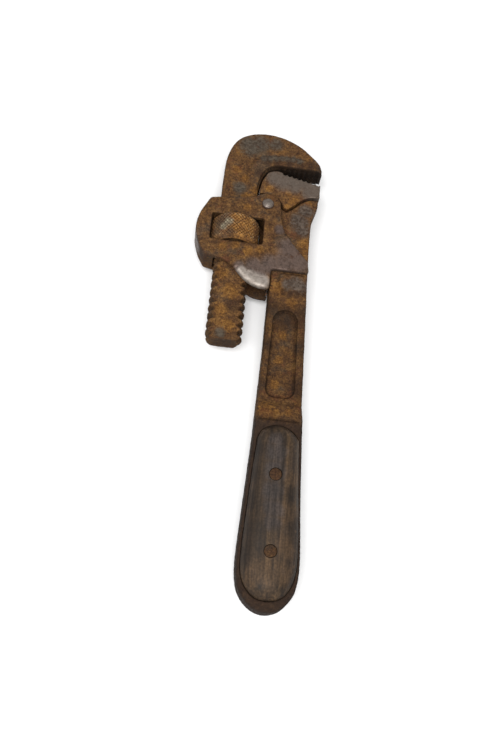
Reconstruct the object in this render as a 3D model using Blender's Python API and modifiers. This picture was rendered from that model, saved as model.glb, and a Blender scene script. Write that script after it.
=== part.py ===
"""Adjustable pipe wrench with a riveted wooden grip.

The wrench lies on its back: +Y runs from the butt to the jaws, +Z is up, out of
the front plate, and X runs across the handle. Sizes are in millimetres, taken
from the centre of the pin that joins the frame to the handle.
"""

import math

import bmesh
import bpy
from mathutils import Matrix, Vector

MM = 0.001

# ---------------------------------------------------------------- driving sizes
FIT_GAP = 0.3            # between pieces that touch
SIDE_SLACK = 0.15        # between the thread's crest and the plain stem's edge

BAR_LENGTH = 103.6       # from the pin to the top of the grip
GRIP_LENGTH = 92.7
GRIP_WIDTH = 27.2        # at its widest
GRIP_X = 14.8            # middle of the grip
BAR_LEFT_X = 4.6         # inner edge of the bar
CORE_HALF = 2.0          # half thickness of the steel web inside the grip
PANEL_DEPTH = 0.8        # recess in the bar's faces

STOCK_HALF = 5.0         # half thickness of the bar, the hook jaw and its shank
GRIP_RISE = 1.9          # rim round the wood, above the bar
PAD_RISE = 1.6           # pad under the frame, above the bar
HEEL_RISE = 1.0          # heel jaw, above the head
RIM_RISE = 1.0           # rim round the throat, above the hook jaw
SCALE_RISE = 4.7         # crown of the wood, above the steel rim
TONGUE_HALF = 2.2        # half thickness of the heel jaw's tongue
TOOTH_DEPTH = 1.0

SHANK_GAP = 5.55         # from the pin to the near edge of the hook jaw's stem
SHANK_LENGTH = 75.0      # from the pin to the shank's end
HOOK_TOP_Y = 44.2        # crown of the hook jaw
THREAD_PITCH = 4.3
THREAD_CREST_R = 8.85
THREAD_DEPTH = 1.65
THREAD_STEPS = 24        # segments in one turn
OFF_STEP = 3.1           # degrees that keep turned walls off the thread's own edges

NUT_WALL = 3.05          # outside the thread's crest
NUT_LENGTH = 14.2
WINDOW_HIGH_Y = -8.6
WINDOW_SLACK = 1.85      # between the nut and the window's right side
FRAME_WALL = 7.25        # closed side of the frame, beside the window
PLATE_THICK = 2.4
PLATE_RIGHT_X = 23.0
PIN_R = 2.2
PIN_HEAD_LIP = 0.55      # head beyond the pin
PIN_HEAD_HEIGHT = 1.3
EAR_WALL = 4.6           # plate round the pin

RIVET_R = 1.6
RIVET_HEAD_R = 2.7
RIVET_HEAD_THICK = 1.5
HEEL_PIN_R = 1.5
SPRING_THICK = 0.7

# -------------------------------------------------------------- dependent sizes
GRIP_TOP_Y = -BAR_LENGTH
BUTT_Y = GRIP_TOP_Y - GRIP_LENGTH
GRIP_HALF = STOCK_HALF + GRIP_RISE
PAD_HALF = STOCK_HALF + PAD_RISE
HEEL_HALF = STOCK_HALF + HEEL_RISE
RIM_HALF = STOCK_HALF + RIM_RISE
SCALE_HALF = GRIP_HALF + SCALE_RISE
SLOT_HALF = STOCK_HALF + FIT_GAP
PLATE_OUT = SLOT_HALF + PLATE_THICK
SPRING_HALF_WIDTH = STOCK_HALF - 1.6
SHANK_END_Y = -SHANK_LENGTH
STEM_HALF_WIDTH = THREAD_CREST_R + SIDE_SLACK
SHANK_X = -SHANK_GAP - STEM_HALF_WIDTH
STEM_LEFT_X = SHANK_X - STEM_HALF_WIDTH
THREAD_ROOT_R = THREAD_CREST_R - THREAD_DEPTH
GROOVE_CREST_WIDTH = THREAD_PITCH * 0.675
GROOVE_ROOT_WIDTH = THREAD_PITCH * 0.3
NUT_R = THREAD_CREST_R + NUT_WALL
NUT_RIGHT_X = SHANK_X + NUT_R
WINDOW_LOW_Y = WINDOW_HIGH_Y - NUT_LENGTH - 2 * FIT_GAP
NUT_Y = (WINDOW_HIGH_Y + WINDOW_LOW_Y) / 2
WINDOW_LEFT_X = SHANK_X - NUT_R - FIT_GAP - 0.1
WINDOW_RIGHT_X = NUT_RIGHT_X + WINDOW_SLACK
FRAME_LEFT_X = WINDOW_LEFT_X - FRAME_WALL
PLATE_LOW_Y = WINDOW_LOW_Y - 12.7
PAD_TOP_Y = PLATE_LOW_Y - 1.0
PAD_LOW_Y = PAD_TOP_Y - 9.4
EAR_R = PIN_R + EAR_WALL
HEEL_ARC_R = EAR_R + 2 * FIT_GAP
PIN_HEAD_R = PIN_R + PIN_HEAD_LIP
HEEL_PIN_SPOT = (14.5, -4.5)
SPRING_RIVET_Y = PLATE_LOW_Y - 6.4
RIVETS = {"upper": (14.3, GRIP_TOP_Y - 35.0), "lower": (14.7, BUTT_Y + 24.5)}
MID_Z = max(NUT_R, SCALE_HALF)
CENTRE_X = (FRAME_LEFT_X + GRIP_X + GRIP_WIDTH / 2) / 2
CENTRE_Y = (BUTT_Y + HOOK_TOP_Y) / 2


# ---------------------------------------------------------------------- helpers
def clear_scene():
    for item in list(bpy.data.objects):
        bpy.data.objects.remove(item, do_unlink=True)


def new_collection(name):
    group = bpy.data.collections.new(name)
    bpy.context.scene.collection.children.link(group)
    return group


def material(name, colour, roughness, metallic):
    mat = bpy.data.materials.new(name)
    mat.use_nodes = True
    shader = mat.node_tree.nodes["Principled BSDF"]
    shader.inputs["Base Color"].default_value = (*colour, 1.0)
    shader.inputs["Roughness"].default_value = roughness
    shader.inputs["Metallic"].default_value = metallic
    return mat


def fillet(before, corner, after, radius):
    """Arc points, in place of a corner."""
    into = (Vector(before[:2]) - Vector(corner[:2])).normalized()
    out = (Vector(after[:2]) - Vector(corner[:2])).normalized()
    half = into.angle(out) / 2
    reach = radius / math.tan(half)
    centre = Vector(corner[:2]) + (into + out).normalized() * radius / math.sin(half)
    start = Vector(corner[:2]) + into * reach - centre
    sweep = start.angle_signed(Vector(corner[:2]) + out * reach - centre)
    count = max(2, round(abs(sweep) / math.radians(22)))
    turned = (Matrix.Rotation(-sweep * i / count, 2) @ start for i in range(count + 1))
    return [(*(centre + v), "corner") for v in turned]


def outline(points, steps=4):
    """Closed outline. A point is (x, y) for a corner, (x, y, "smooth"), or (x, y, fillet radius)."""
    count = len(points)
    knots = []
    for i, point in enumerate(points):
        kind = point[2] if len(point) == 3 else "corner"
        if isinstance(kind, str):
            knots.append((point[0], point[1], kind))
        else:
            knots.extend(fillet(points[i - 1], point, points[(i + 1) % count], kind))
    count = len(knots)
    path = []
    for i in range(count):
        a, b, c, d = (knots[(i + k) % count] for k in (-1, 0, 1, 2))
        if b[2] == c[2] == "corner":
            path.append(b[:2])
            continue
        chord = Vector(c[:2]) - Vector(b[:2])
        leave = (Vector(c[:2]) - Vector(a[:2])) / 2 if b[2] == "smooth" else chord
        reach = (Vector(d[:2]) - Vector(b[:2])) / 2 if c[2] == "smooth" else chord
        leave = leave.normalized() * chord.length
        reach = reach.normalized() * chord.length
        for k in range(steps):
            t = k / steps
            spot = Vector(b[:2]) * (2 * t**3 - 3 * t**2 + 1) + leave * (t**3 - 2 * t**2 + t)
            spot += Vector(c[:2]) * (3 * t**2 - 2 * t**3) + reach * (t**3 - t**2)
            path.append(tuple(spot))
    return path


def grown(path, distance):
    """The outline moved outwards by a distance."""
    area = sum(a[0] * b[1] - b[0] * a[1] for a, b in zip(path, path[1:] + path[:1]))
    side = 1 if area > 0 else -1
    moved = []
    for i, spot in enumerate(path):
        before = (Vector(spot) - Vector(path[i - 1])).normalized()
        after = (Vector(path[(i + 1) % len(path)]) - Vector(spot)).normalized()
        along = (before + after).normalized()
        normal = Vector((along.y, -along.x)) * side
        moved.append(tuple(Vector(spot) + normal * distance / max(0.5, along.dot(after))))
    return moved


def tidy(mesh):
    shape = bmesh.new()
    shape.from_mesh(mesh)
    bmesh.ops.remove_doubles(shape, verts=shape.verts, dist=1e-6)
    bmesh.ops.dissolve_limit(shape, angle_limit=0.0005, verts=shape.verts, edges=shape.edges)
    bmesh.ops.recalc_face_normals(shape, faces=shape.faces)
    shape.to_mesh(mesh)
    shape.free()


def evaluated_mesh(item):
    graph = bpy.context.evaluated_depsgraph_get()
    graph.update()
    return bpy.data.meshes.new_from_object(item.evaluated_get(graph))


def prism(name, group, path, low, high):
    """A flat plate cut to an outline, between two heights."""
    curve = bpy.data.curves.new(name, "CURVE")
    curve.dimensions = "2D"
    curve.fill_mode = "BOTH"
    curve.extrude = (high - low) / 2 * MM
    spline = curve.splines.new("POLY")
    spline.points.add(len(path) - 1)
    for knot, spot in zip(spline.points, path):
        knot.co = (spot[0] * MM, spot[1] * MM, 0.0, 1.0)
    spline.use_cyclic_u = True
    carrier = bpy.data.objects.new(name, curve)
    group.objects.link(carrier)
    mesh = evaluated_mesh(carrier)
    bpy.data.objects.remove(carrier, do_unlink=True)
    bpy.data.curves.remove(curve)
    mesh.transform(Matrix.Translation((0, 0, (high + low) / 2 * MM)))
    tidy(mesh)
    return place(name, group, mesh)


def place(name, group, mesh):
    item = bpy.data.objects.new(name, mesh)
    mesh.name = name
    group.objects.link(item)
    if group is cutters:
        item.hide_render = True
        item.display_type = "WIRE"
    item.parent = root
    return item


def lathe(name, group, profile, steps=48, start_angle=0.0):
    """A turned piece about Z, from (radius, height) points that run down its outer side."""
    mesh = bpy.data.meshes.new(name)
    verts = [(r * MM, 0, z * MM) for r, z in profile]
    mesh.from_pydata(verts, [(i, i + 1) for i in range(len(verts) - 1)], [])
    turned = bpy.data.objects.new(name, mesh)
    group.objects.link(turned)
    screw = turned.modifiers.new("turn", "SCREW")
    screw.steps = screw.render_steps = steps
    screw.use_merge_vertices = True
    screw.merge_threshold = 1e-5
    solid = evaluated_mesh(turned)
    bpy.data.objects.remove(turned, do_unlink=True)
    tidy(solid)
    solid.transform(Matrix.Rotation(math.radians(start_angle), 4, "Z"))
    item = place(name, group, solid)
    for face in solid.polygons:
        face.use_smooth = True
    return item


def coil(name, profile, start, turns):
    """A helical bar about Z: a closed (radius, height) section swept up by the thread's pitch."""
    mesh = bpy.data.meshes.new(name)
    verts = [(r * MM, 0, (start + z) * MM) for r, z in profile]
    mesh.from_pydata(verts, [(i, (i + 1) % len(verts)) for i in range(len(verts))], [])
    swept = bpy.data.objects.new(name, mesh)
    cutters.objects.link(swept)
    screw = swept.modifiers.new("helix", "SCREW")
    screw.steps = screw.render_steps = THREAD_STEPS
    screw.iterations = turns
    screw.screw_offset = THREAD_PITCH * MM
    solid = evaluated_mesh(swept)
    bpy.data.objects.remove(swept, do_unlink=True)
    shape = bmesh.new()
    shape.from_mesh(solid)
    bmesh.ops.remove_doubles(shape, verts=shape.verts, dist=1e-6)
    bmesh.ops.holes_fill(shape, edges=shape.edges)
    bmesh.ops.recalc_face_normals(shape, faces=shape.faces)
    shape.to_mesh(solid)
    shape.free()
    return place(name, cutters, solid)


def loft(name, group, rings):
    """A solid bridged through closed rings of (x, y, z) points, all of one length."""
    shape = bmesh.new()
    loops = []
    for ring in rings:
        verts = [shape.verts.new(Vector(spot) * MM) for spot in ring]
        loops.append([shape.edges.new((a, b)) for a, b in zip(verts, verts[1:] + verts[:1])])
    for lower, upper in zip(loops, loops[1:]):
        bmesh.ops.bridge_loops(shape, edges=lower + upper)
    for end in (loops[0], loops[-1]):
        bmesh.ops.contextual_create(shape, geom=end)
    bmesh.ops.recalc_face_normals(shape, faces=shape.faces)
    mesh = bpy.data.meshes.new(name)
    shape.to_mesh(mesh)
    shape.free()
    return place(name, group, mesh)


def domed(path, steps):
    """Rings of one outline, drawn in towards its middle by each (inset, height)."""
    across_x = [spot[0] for spot in path]
    along_y = [spot[1] for spot in path]
    middle = Vector((min(across_x) + max(across_x), min(along_y) + max(along_y))) / 2
    half = Vector((max(across_x), max(along_y))) - middle
    rings = []
    for inset, height in steps:
        narrow = 1 - inset / half.x
        shorten = 1 - inset / half.y
        rings.append([(middle.x + (x - middle.x) * narrow, middle.y + (y - middle.y) * shorten,
                       height) for x, y in path])
    return rings


def box(name, group, low, high):
    shape = bmesh.new()
    bmesh.ops.create_cube(shape, size=1.0)
    size = [(b - a) * MM for a, b in zip(low, high)]
    middle = [(b + a) / 2 * MM for a, b in zip(low, high)]
    bmesh.ops.transform(shape, matrix=Matrix.LocRotScale(middle, None, size), verts=shape.verts)
    mesh = bpy.data.meshes.new(name)
    shape.to_mesh(mesh)
    shape.free()
    return place(name, group, mesh)


def round_edges(item, width, segments=2, angle=35):
    bevel = item.modifiers.new("rounded edges", "BEVEL")
    bevel.width = width * MM
    bevel.segments = segments
    bevel.limit_method = "ANGLE"
    bevel.angle_limit = math.radians(angle)
    bevel.use_clamp_overlap = True
    return item


def combine(item, tool, operation):
    step = item.modifiers.new(operation.lower(), "BOOLEAN")
    step.operation = operation
    step.solver = "EXACT"
    step.object = tool
    return item


def along_shank(item, y=0.0):
    """Turn a piece made about Z onto the shank's axis, with its up end towards the jaws."""
    item.location = (SHANK_X * MM, y * MM, 0)
    item.rotation_euler = (math.radians(-90), 0, 0)
    return item


def across(name, group, radius, low, high, spot, steps=24):
    """A round bar along Z, through the wrench's thickness."""
    bar = lathe(name, group, [(0, high), (radius, high), (radius, low), (0, low)], steps)
    bar.location = (spot[0] * MM, spot[1] * MM, 0)
    return bar


def teeth(start, end, count, depth):
    """Zigzag points from start to end, with each tooth's tip on the line between them."""
    line = Vector(end) - Vector(start)
    down = Vector((line.y, -line.x)).normalized() * depth
    points = []
    for i in range(count):
        tip = Vector(start) + line * (i + 0.15) / count
        root_a = Vector(start) + line * (i + 0.4) / count + down
        root_b = Vector(start) + line * (i + 0.8) / count + down
        points += [(tip.x, tip.y), (root_a.x, root_a.y), (root_b.x, root_b.y)]
    return points


# --------------------------------------------------------------------- outlines
def on_grip(points):
    """Outline points given as shares of the grip's width and length."""
    return outline([(GRIP_X + GRIP_WIDTH * p[0], GRIP_TOP_Y - GRIP_LENGTH * p[1], *p[2:])
                    for p in points])


def grip_path():
    return on_grip([
        (-0.41, 0.0), (0.36, 0.0), (0.385, 0.07), (0.427, 0.36, "smooth"),
        (0.46, 0.545, "smooth"), (0.492, 0.695, "smooth"), (0.5, 0.787, "smooth"),
        (0.475, 0.87, "smooth"), (0.397, 0.93, "smooth"), (0.235, 0.981, "smooth"),
        (0.04, 1.0, "smooth"), (-0.162, 0.989, "smooth"), (-0.345, 0.947, "smooth"),
        (-0.452, 0.893, "smooth"), (-0.5, 0.813, "smooth"), (-0.5, 0.695, "smooth"),
        (-0.452, 0.39, "smooth"), (-0.415, 0.155),
    ])


def scale_path():
    return on_grip([
        (-0.345, 0.188), (-0.25, 0.145, "smooth"), (-0.025, 0.121, "smooth"),
        (0.213, 0.145, "smooth"), (0.342, 0.188), (0.379, 0.393, "smooth"),
        (0.423, 0.587, "smooth"), (0.448, 0.77, "smooth"), (0.397, 0.862, "smooth"),
        (0.25, 0.928, "smooth"), (0.03, 0.949, "smooth"), (-0.198, 0.936, "smooth"),
        (-0.375, 0.878, "smooth"), (-0.441, 0.792, "smooth"), (-0.426, 0.608, "smooth"),
        (-0.39, 0.393, "smooth"),
    ])


def arc(radius, first, last, count):
    """Points round the frame's pin, with angles in degrees."""
    turns = [math.radians(first + (last - first) * i / (count - 1)) for i in range(count)]
    return [(radius * math.cos(turn), radius * math.sin(turn)) for turn in turns]


def frame_path():
    left = FRAME_LEFT_X
    low = PLATE_LOW_Y
    return outline([
        (left + 1.1, -9.6, "smooth"), (left + 5.5, 0.3, 2.5), (-6.2, EAR_R - 2.6),
        *arc(EAR_R, 118, 0, 7),
        (EAR_R + 0.8, -6.5, "smooth"), (9.9, -14.6, "smooth"), (PLATE_RIGHT_X - 0.6, low + 5.9, 2.0),
        (PLATE_RIGHT_X, low, 1.2), (BAR_LEFT_X + 0.1, low, 1.2), (BAR_LEFT_X - 0.2, low - 11.0, 1.2),
        (-2.2, low - 10.3, "smooth"), (SHANK_X + 6.55, low - 7.3, "smooth"),
        (SHANK_X + 2.35, low - 3.1, "smooth"), (SHANK_X - 2.45, low + 0.9, "smooth"),
        (SHANK_X - 7.45, low + 2.7, "smooth"), (left + 5.5, low + 4.1, 2.0),
        (left + 2.3, low + 10.1, "smooth"), (left, low + 18.1, "smooth"),
    ])


def heel_path():
    return outline([
        (-2.2, HEEL_ARC_R - 0.5, 0.5), (-2.2, 16.8, "smooth"), (-0.6, 20.4, "smooth"),
        (3.6, 21.7, "smooth"), *teeth((6.0, 21.2), (25.6, 16.9), 8, TOOTH_DEPTH), (25.9, 16.8),
        (26.0, 8.6, 0.4), (20.6, 8.0, "smooth"), (16.6, 5.7, "smooth"), (12.7, 1.9, "smooth"),
        (HEEL_ARC_R + 2.3, -0.5, 0.6), (HEEL_ARC_R + 0.4, 0.9), *arc(HEEL_ARC_R, 23, 87, 4),
    ])


def hook_path():
    left = STEM_LEFT_X
    right = -SHANK_GAP
    return outline([
        (left, -7.0), (left, 14.0), (left + 0.65, 27.0, "smooth"), (left + 2.95, 35.2, "smooth"),
        (left + 6.35, 39.7, "smooth"), (left + 11.15, HOOK_TOP_Y - 1.6, "smooth"),
        (-5.8, HOOK_TOP_Y, "smooth"), (1.2, HOOK_TOP_Y - 0.2, "smooth"),
        (7.8, HOOK_TOP_Y - 1.8, "smooth"), (14.8, HOOK_TOP_Y - 5.0, "smooth"),
        (20.3, HOOK_TOP_Y - 9.3, "smooth"), (24.4, 30.2, "smooth"), (26.5, 26.6, 0.8),
        (26.2, 23.45, 0.6), (4.0, 23.4), (2.6, 23.5, "smooth"), (-0.6, 22.4, "smooth"), (right + 2.35, 18.8, "smooth"),
        (right + 0.65, 12.0, "smooth"), (right, 6.0), (right, -7.0),
    ])


def lip_path():
    """Left edge of the heel jaw's faces, which follows the hook jaw's throat."""
    right = -SHANK_GAP
    return [(right + 0.85, 7.3), (right + 1.0, 10.0), (right + 1.35, 12.5), (right + 2.0, 15.2),
            (right + 3.0, 16.6), (-1.2, 16.6), (-1.2, 7.9)][::-1]


def rim_path():
    right = -SHANK_GAP
    return outline([
        (-11.6, 14.5, "smooth"), (-10.8, 20.4, "smooth"), (-8.4, 26.2, "smooth"),
        (-3.6, 29.8, "smooth"), (4.6, 31.0, "smooth"), (15.8, 30.8, "smooth"),
        (22.6, 29.2), (25.4, 24.6, 0.5), (5.6, 24.9), (2.2, 24.4, "smooth"),
        (-1.7, 22.6, "smooth"), (right + 1.35, 18.8, "smooth"), (right - 0.35, 12.0, "smooth"),
        (right - 0.65, 9.2),
    ])


# ----------------------------------------------------------------------- pieces
def make_handle():
    """One forging: head, bar, raised pads, and the rim and web that carry the wood."""
    near = 1.45 - SHANK_GAP
    under = HEEL_ARC_R - 2 * FIT_GAP
    head = outline([
        (near, -3.4, "smooth"), (near, 3.6, "smooth"), *arc(under, 112, 22, 5),
        (HEEL_ARC_R, 0.4), (HEEL_ARC_R + 2.3, -1.2, 0.6),
        (13.1, 1.5, "smooth"), (16.9, 5.2, "smooth"), (20.8, 7.6, "smooth"), (25.6, 8.2, 1.0),
        (25.4, 3.9), (23.3, -3.4, "smooth"), (22.6, -13.1, "smooth"), (22.9, PLATE_LOW_Y),
        (24.7, GRIP_TOP_Y - 2.4), (BAR_LEFT_X - 0.9, GRIP_TOP_Y - 2.4),
        (BAR_LEFT_X - 0.1, (GRIP_TOP_Y + PAD_LOW_Y) / 2), (BAR_LEFT_X + 0.1, PLATE_LOW_Y - 1.4),
        (NUT_RIGHT_X + 3.85, WINDOW_LOW_Y + 1.4), (NUT_RIGHT_X + 3.05, WINDOW_HIGH_Y - 1.4),
    ])
    item = round_edges(prism("handle_bar", parts, head, -STOCK_HALF, STOCK_HALF), 0.5, 1)
    rings = [(2.4, -GRIP_HALF), (0.8, 0.7 - GRIP_HALF), (0, 2.6 - GRIP_HALF)]
    rings += [(inset, -height) for inset, height in rings[::-1]]
    combine(item, loft("grip_blank", cutters, domed(grip_path(), rings)), "UNION")
    pad = outline([
        (BAR_LEFT_X + 4.4, PAD_TOP_Y), (22.3, PAD_TOP_Y), (22.5, PAD_LOW_Y + 1.1, 2.0),
        (15.0, PAD_LOW_Y), (BAR_LEFT_X + 4.6, PAD_LOW_Y + 1.3, 3.0),
    ])
    combine(item, round_edges(prism("pad_blank", cutters, pad, -PAD_HALF, PAD_HALF), 0.6, 1),
            "UNION")
    top = PAD_LOW_Y - 9.5
    low_end = GRIP_TOP_Y + 2.6
    panel = outline([
        (7.9, top - 4.5), (10.0, top - 1.2, "smooth"), (13.8, top, "smooth"),
        (17.6, top - 1.2, "smooth"), (19.7, top - 4.5), (20.8, low_end, 1.5), (6.9, low_end, 1.5),
    ])
    for name, low, high in (
        ("panel_front", STOCK_HALF - PANEL_DEPTH, STOCK_HALF + 1),
        ("panel_back", -STOCK_HALF - 1, PANEL_DEPTH - STOCK_HALF),
    ):
        combine(item, prism(name, cutters, panel, low, high), "DIFFERENCE")
    bed = grown(scale_path(), FIT_GAP)
    combine(item, prism("wood_bed", cutters, bed, -SCALE_HALF, SCALE_HALF), "DIFFERENCE")
    web = grown(scale_path(), FIT_GAP + 0.5)
    combine(item, prism("grip_web", cutters, web, -CORE_HALF, CORE_HALF), "UNION")
    combine(item, across("pin_bore", cutters, PIN_R + FIT_GAP, -2 * STOCK_HALF, 2 * STOCK_HALF,
                         (0, 0)), "DIFFERENCE")
    tongue = box("tongue_slot", cutters, (9.0 - FIT_GAP, -9.0 - FIT_GAP, -TONGUE_HALF - FIT_GAP),
                 (19.0 + FIT_GAP, 12.0, TONGUE_HALF + FIT_GAP))
    combine(item, tongue, "DIFFERENCE")
    combine(item, across("heel_pin_bore", cutters, HEEL_PIN_R + FIT_GAP, -2 * STOCK_HALF,
                         2 * STOCK_HALF, HEEL_PIN_SPOT), "DIFFERENCE")
    for name, spot in RIVETS.items():
        bore = across(f"core_bore_{name}", cutters, RIVET_R + FIT_GAP, -2 * CORE_HALF,
                      2 * CORE_HALF, spot)
        combine(item, bore, "DIFFERENCE")
    combine(item, sideways(lathe("spring_rivet_bore", cutters, [
        (0, 9.5), (1.5, 9.5), (1.5, 0), (0, 0),
    ], 16)), "DIFFERENCE")
    return item


def make_heel_jaw():
    """Hardened toothed block, set on the head with a tongue and a cross pin."""
    item = round_edges(prism("heel_jaw", parts, heel_path(), -HEEL_HALF, HEEL_HALF), 0.35, 1, 50)
    tongue = box("tongue", cutters, (9.0, -9.0, -TONGUE_HALF), (19.0, 12.0, TONGUE_HALF))
    combine(item, tongue, "UNION")
    combine(item, across("heel_pin_hole", cutters, HEEL_PIN_R + FIT_GAP, -2 * STOCK_HALF,
                         2 * STOCK_HALF, HEEL_PIN_SPOT), "DIFFERENCE")
    for low, high in ((STOCK_HALF - 0.6, HEEL_HALF - 0.1), (0.1 - HEEL_HALF, 0.6 - STOCK_HALF)):
        combine(item, prism("lip_blank", cutters, lip_path(), low, high), "UNION")
    notch = box("spring_notch", cutters, (-3.0, 8.8, -SPRING_HALF_WIDTH - FIT_GAP),
                (0.7, 13.5, HEEL_HALF + 1))
    combine(item, notch, "DIFFERENCE")
    return item


def make_heel_pin():
    """Short pin, filed flush, that holds the heel jaw's tongue in the head."""
    return across("heel_jaw_pin", parts, HEEL_PIN_R, -STOCK_HALF, STOCK_HALF, HEEL_PIN_SPOT)


def make_hook_jaw():
    """Forged hook with a rim round the throat, on a flat-sided threaded shank."""
    item = prism("hook_jaw", parts, hook_path(), -STOCK_HALF, STOCK_HALF)
    round_edges(item, 1.1, 2, 60)
    rim = prism("rim_blank", cutters, rim_path(), -RIM_HALF, RIM_HALF)
    combine(item, round_edges(rim, 0.5, 1, 50), "UNION")
    bite = [*teeth((25.4, 23.6), (5.6, 23.6), 8, TOOTH_DEPTH), (5.0, 22.0), (25.9, 22.0)]
    combine(item, prism("teeth_cut", cutters, bite, -RIM_HALF - 1, RIM_HALF + 1), "DIFFERENCE")
    length = -6.0 - SHANK_END_Y
    bar = lathe("shank_bar", cutters, [
        (0, length), (THREAD_CREST_R, length), (THREAD_CREST_R, 1.6),
        (THREAD_CREST_R - 1.6, 0), (0, 0),
    ], THREAD_STEPS * 2, OFF_STEP)
    along_shank(bar, SHANK_END_Y)
    half = GROOVE_CREST_WIDTH / 2
    flare = half + (half - GROOVE_ROOT_WIDTH / 2) * 0.5
    beyond = THREAD_CREST_R + (THREAD_CREST_R - THREAD_ROOT_R) * 0.5
    turns = math.ceil((WINDOW_HIGH_Y + 1.0 - SHANK_END_Y) / THREAD_PITCH) + 1
    groove = coil("thread_groove", [
        (THREAD_ROOT_R, -GROOVE_ROOT_WIDTH / 2), (beyond, -flare), (beyond, flare),
        (THREAD_ROOT_R, GROOVE_ROOT_WIDTH / 2),
    ], -THREAD_PITCH, turns)
    combine(bar, along_shank(groove, SHANK_END_Y), "DIFFERENCE")
    flats = box("shank_flats", cutters, (SHANK_X - 2 * STEM_HALF_WIDTH, SHANK_END_Y - 5, -STOCK_HALF),
                (SHANK_X + 2 * STEM_HALF_WIDTH, 0, STOCK_HALF))
    combine(bar, flats, "INTERSECT")
    combine(item, bar, "UNION")
    return item


def make_nut():
    """Knurled nut that runs on the shank's thread inside the frame's window."""
    half = NUT_LENGTH / 2
    bore = THREAD_CREST_R + FIT_GAP
    chamfer = 1.3
    item = lathe("adjusting_nut", parts, [
        (bore, half), (NUT_R - chamfer, half), (NUT_R, half - chamfer),
        (NUT_R, chamfer - half), (NUT_R - chamfer, -half), (bore, -half), (bore, half),
    ], THREAD_STEPS * 2, OFF_STEP)
    along_shank(item, NUT_Y)
    slope = (GROOVE_CREST_WIDTH - GROOVE_ROOT_WIDTH) / 2 / (THREAD_CREST_R - THREAD_ROOT_R)
    slack = FIT_GAP * math.hypot(1, slope)
    tip = THREAD_ROOT_R + FIT_GAP + 0.1
    foot = bore + 0.5
    tip_half = GROOVE_ROOT_WIDTH / 2 + slope * (tip - THREAD_ROOT_R) - slack
    foot_half = GROOVE_ROOT_WIDTH / 2 + slope * (foot - THREAD_ROOT_R) - slack
    turns_up = math.floor((NUT_Y - half - SHANK_END_Y) / THREAD_PITCH)
    start = SHANK_END_Y + turns_up * THREAD_PITCH - NUT_Y
    ridge = coil("nut_ridge", [
        (tip, -tip_half), (foot, -foot_half), (foot, foot_half), (tip, tip_half),
    ], start, math.ceil(NUT_LENGTH / THREAD_PITCH) + 1)
    trim = lathe("ridge_trim", cutters, [
        (0, half - 0.8), (foot + 1, half - 0.8), (foot + 1, 0.8 - half), (0, 0.8 - half),
    ], 30, OFF_STEP)
    combine(ridge, trim, "INTERSECT")
    ridge.parent = item
    trim.parent = item
    combine(item, ridge, "UNION")
    return item


def make_frame():
    """Housing: two side plates joined by a closed side, with the nut's window through both."""
    item = prism("frame", parts, frame_path(), -PLATE_OUT, PLATE_OUT)
    round_edges(item, 0.8, 2, 30)
    slot = box("plate_slot", cutters, (STEM_LEFT_X - FIT_GAP, PLATE_LOW_Y - 20, -SLOT_HALF),
               (PLATE_RIGHT_X + 10, EAR_R + 10, SLOT_HALF))
    combine(item, slot, "DIFFERENCE")
    window = box("nut_window", cutters, (WINDOW_LEFT_X, WINDOW_LOW_Y, -PLATE_OUT - 5),
                 (WINDOW_RIGHT_X, WINDOW_HIGH_Y, PLATE_OUT + 5))
    combine(item, window, "DIFFERENCE")
    combine(item, across("frame_bore", cutters, PIN_R + FIT_GAP, -PLATE_OUT - 5, PLATE_OUT + 5,
                         (0, 0)), "DIFFERENCE")
    return item


def make_frame_pin():
    """Pin with a domed head on both sides, on which the frame rocks."""
    seat = PLATE_OUT + FIT_GAP
    top = seat + PIN_HEAD_HEIGHT
    dome = [(0, top), (PIN_HEAD_R * 0.45, top - 0.12), (PIN_HEAD_R * 0.8, top - 0.5),
            (PIN_HEAD_R, top - 1.05), (PIN_HEAD_R, seat), (PIN_R, seat)]
    return lathe("frame_pin", parts, dome + [(r, -z) for r, z in reversed(dome)], 24)


def make_scale(side):
    """Wooden scale with a crowned face, set in the grip's bed."""
    name = f"grip_scale_{side}"
    up = 1 if side == "front" else -1
    seat_floor = up * (SCALE_HALF - RIVET_HEAD_THICK - FIT_GAP)
    dome = [(0, CORE_HALF + FIT_GAP)]
    dome += [(inset, GRIP_HALF + SCALE_RISE * share) for inset, share in (
        (0, 0), (0.7, 0.43), (1.8, 0.68), (3.4, 0.86), (5.4, 0.96), (7.4, 1),
    )]
    rings = domed(scale_path(), [(inset, up * height) for inset, height in dome])
    item = loft(name, parts, rings)
    for rivet, spot in RIVETS.items():
        beyond = SCALE_HALF + 5
        hole = across(f"{name}_hole_{rivet}", cutters, RIVET_R + FIT_GAP, -beyond, beyond, spot)
        low, high = sorted((seat_floor, up * beyond))
        seat = across(f"{name}_seat_{rivet}", cutters, RIVET_HEAD_R + FIT_GAP, low, high, spot)
        combine(item, hole, "DIFFERENCE")
        combine(item, seat, "DIFFERENCE")
    return item


def make_rivet(which):
    """Steel rivet through both scales, with its heads filed flush."""
    neck = SCALE_HALF - RIVET_HEAD_THICK
    x, y = RIVETS[which]
    item = lathe(f"grip_rivet_{which}", parts, [
        (0, SCALE_HALF), (RIVET_HEAD_R, SCALE_HALF), (RIVET_HEAD_R, neck), (RIVET_R, neck),
        (RIVET_R, -neck), (RIVET_HEAD_R, -neck), (RIVET_HEAD_R, -SCALE_HALF), (0, -SCALE_HALF),
    ], 24)
    item.location = (x * MM, y * MM, 0)
    return item


def sideways(item):
    """Turn a piece made about Z onto the frame spring's rivet, with its up end in the bar."""
    item.rotation_euler = (0, math.radians(90), 0)
    item.location = ((BAR_LEFT_X - 2.6) * MM, SPRING_RIVET_Y * MM, 0)
    return item


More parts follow.
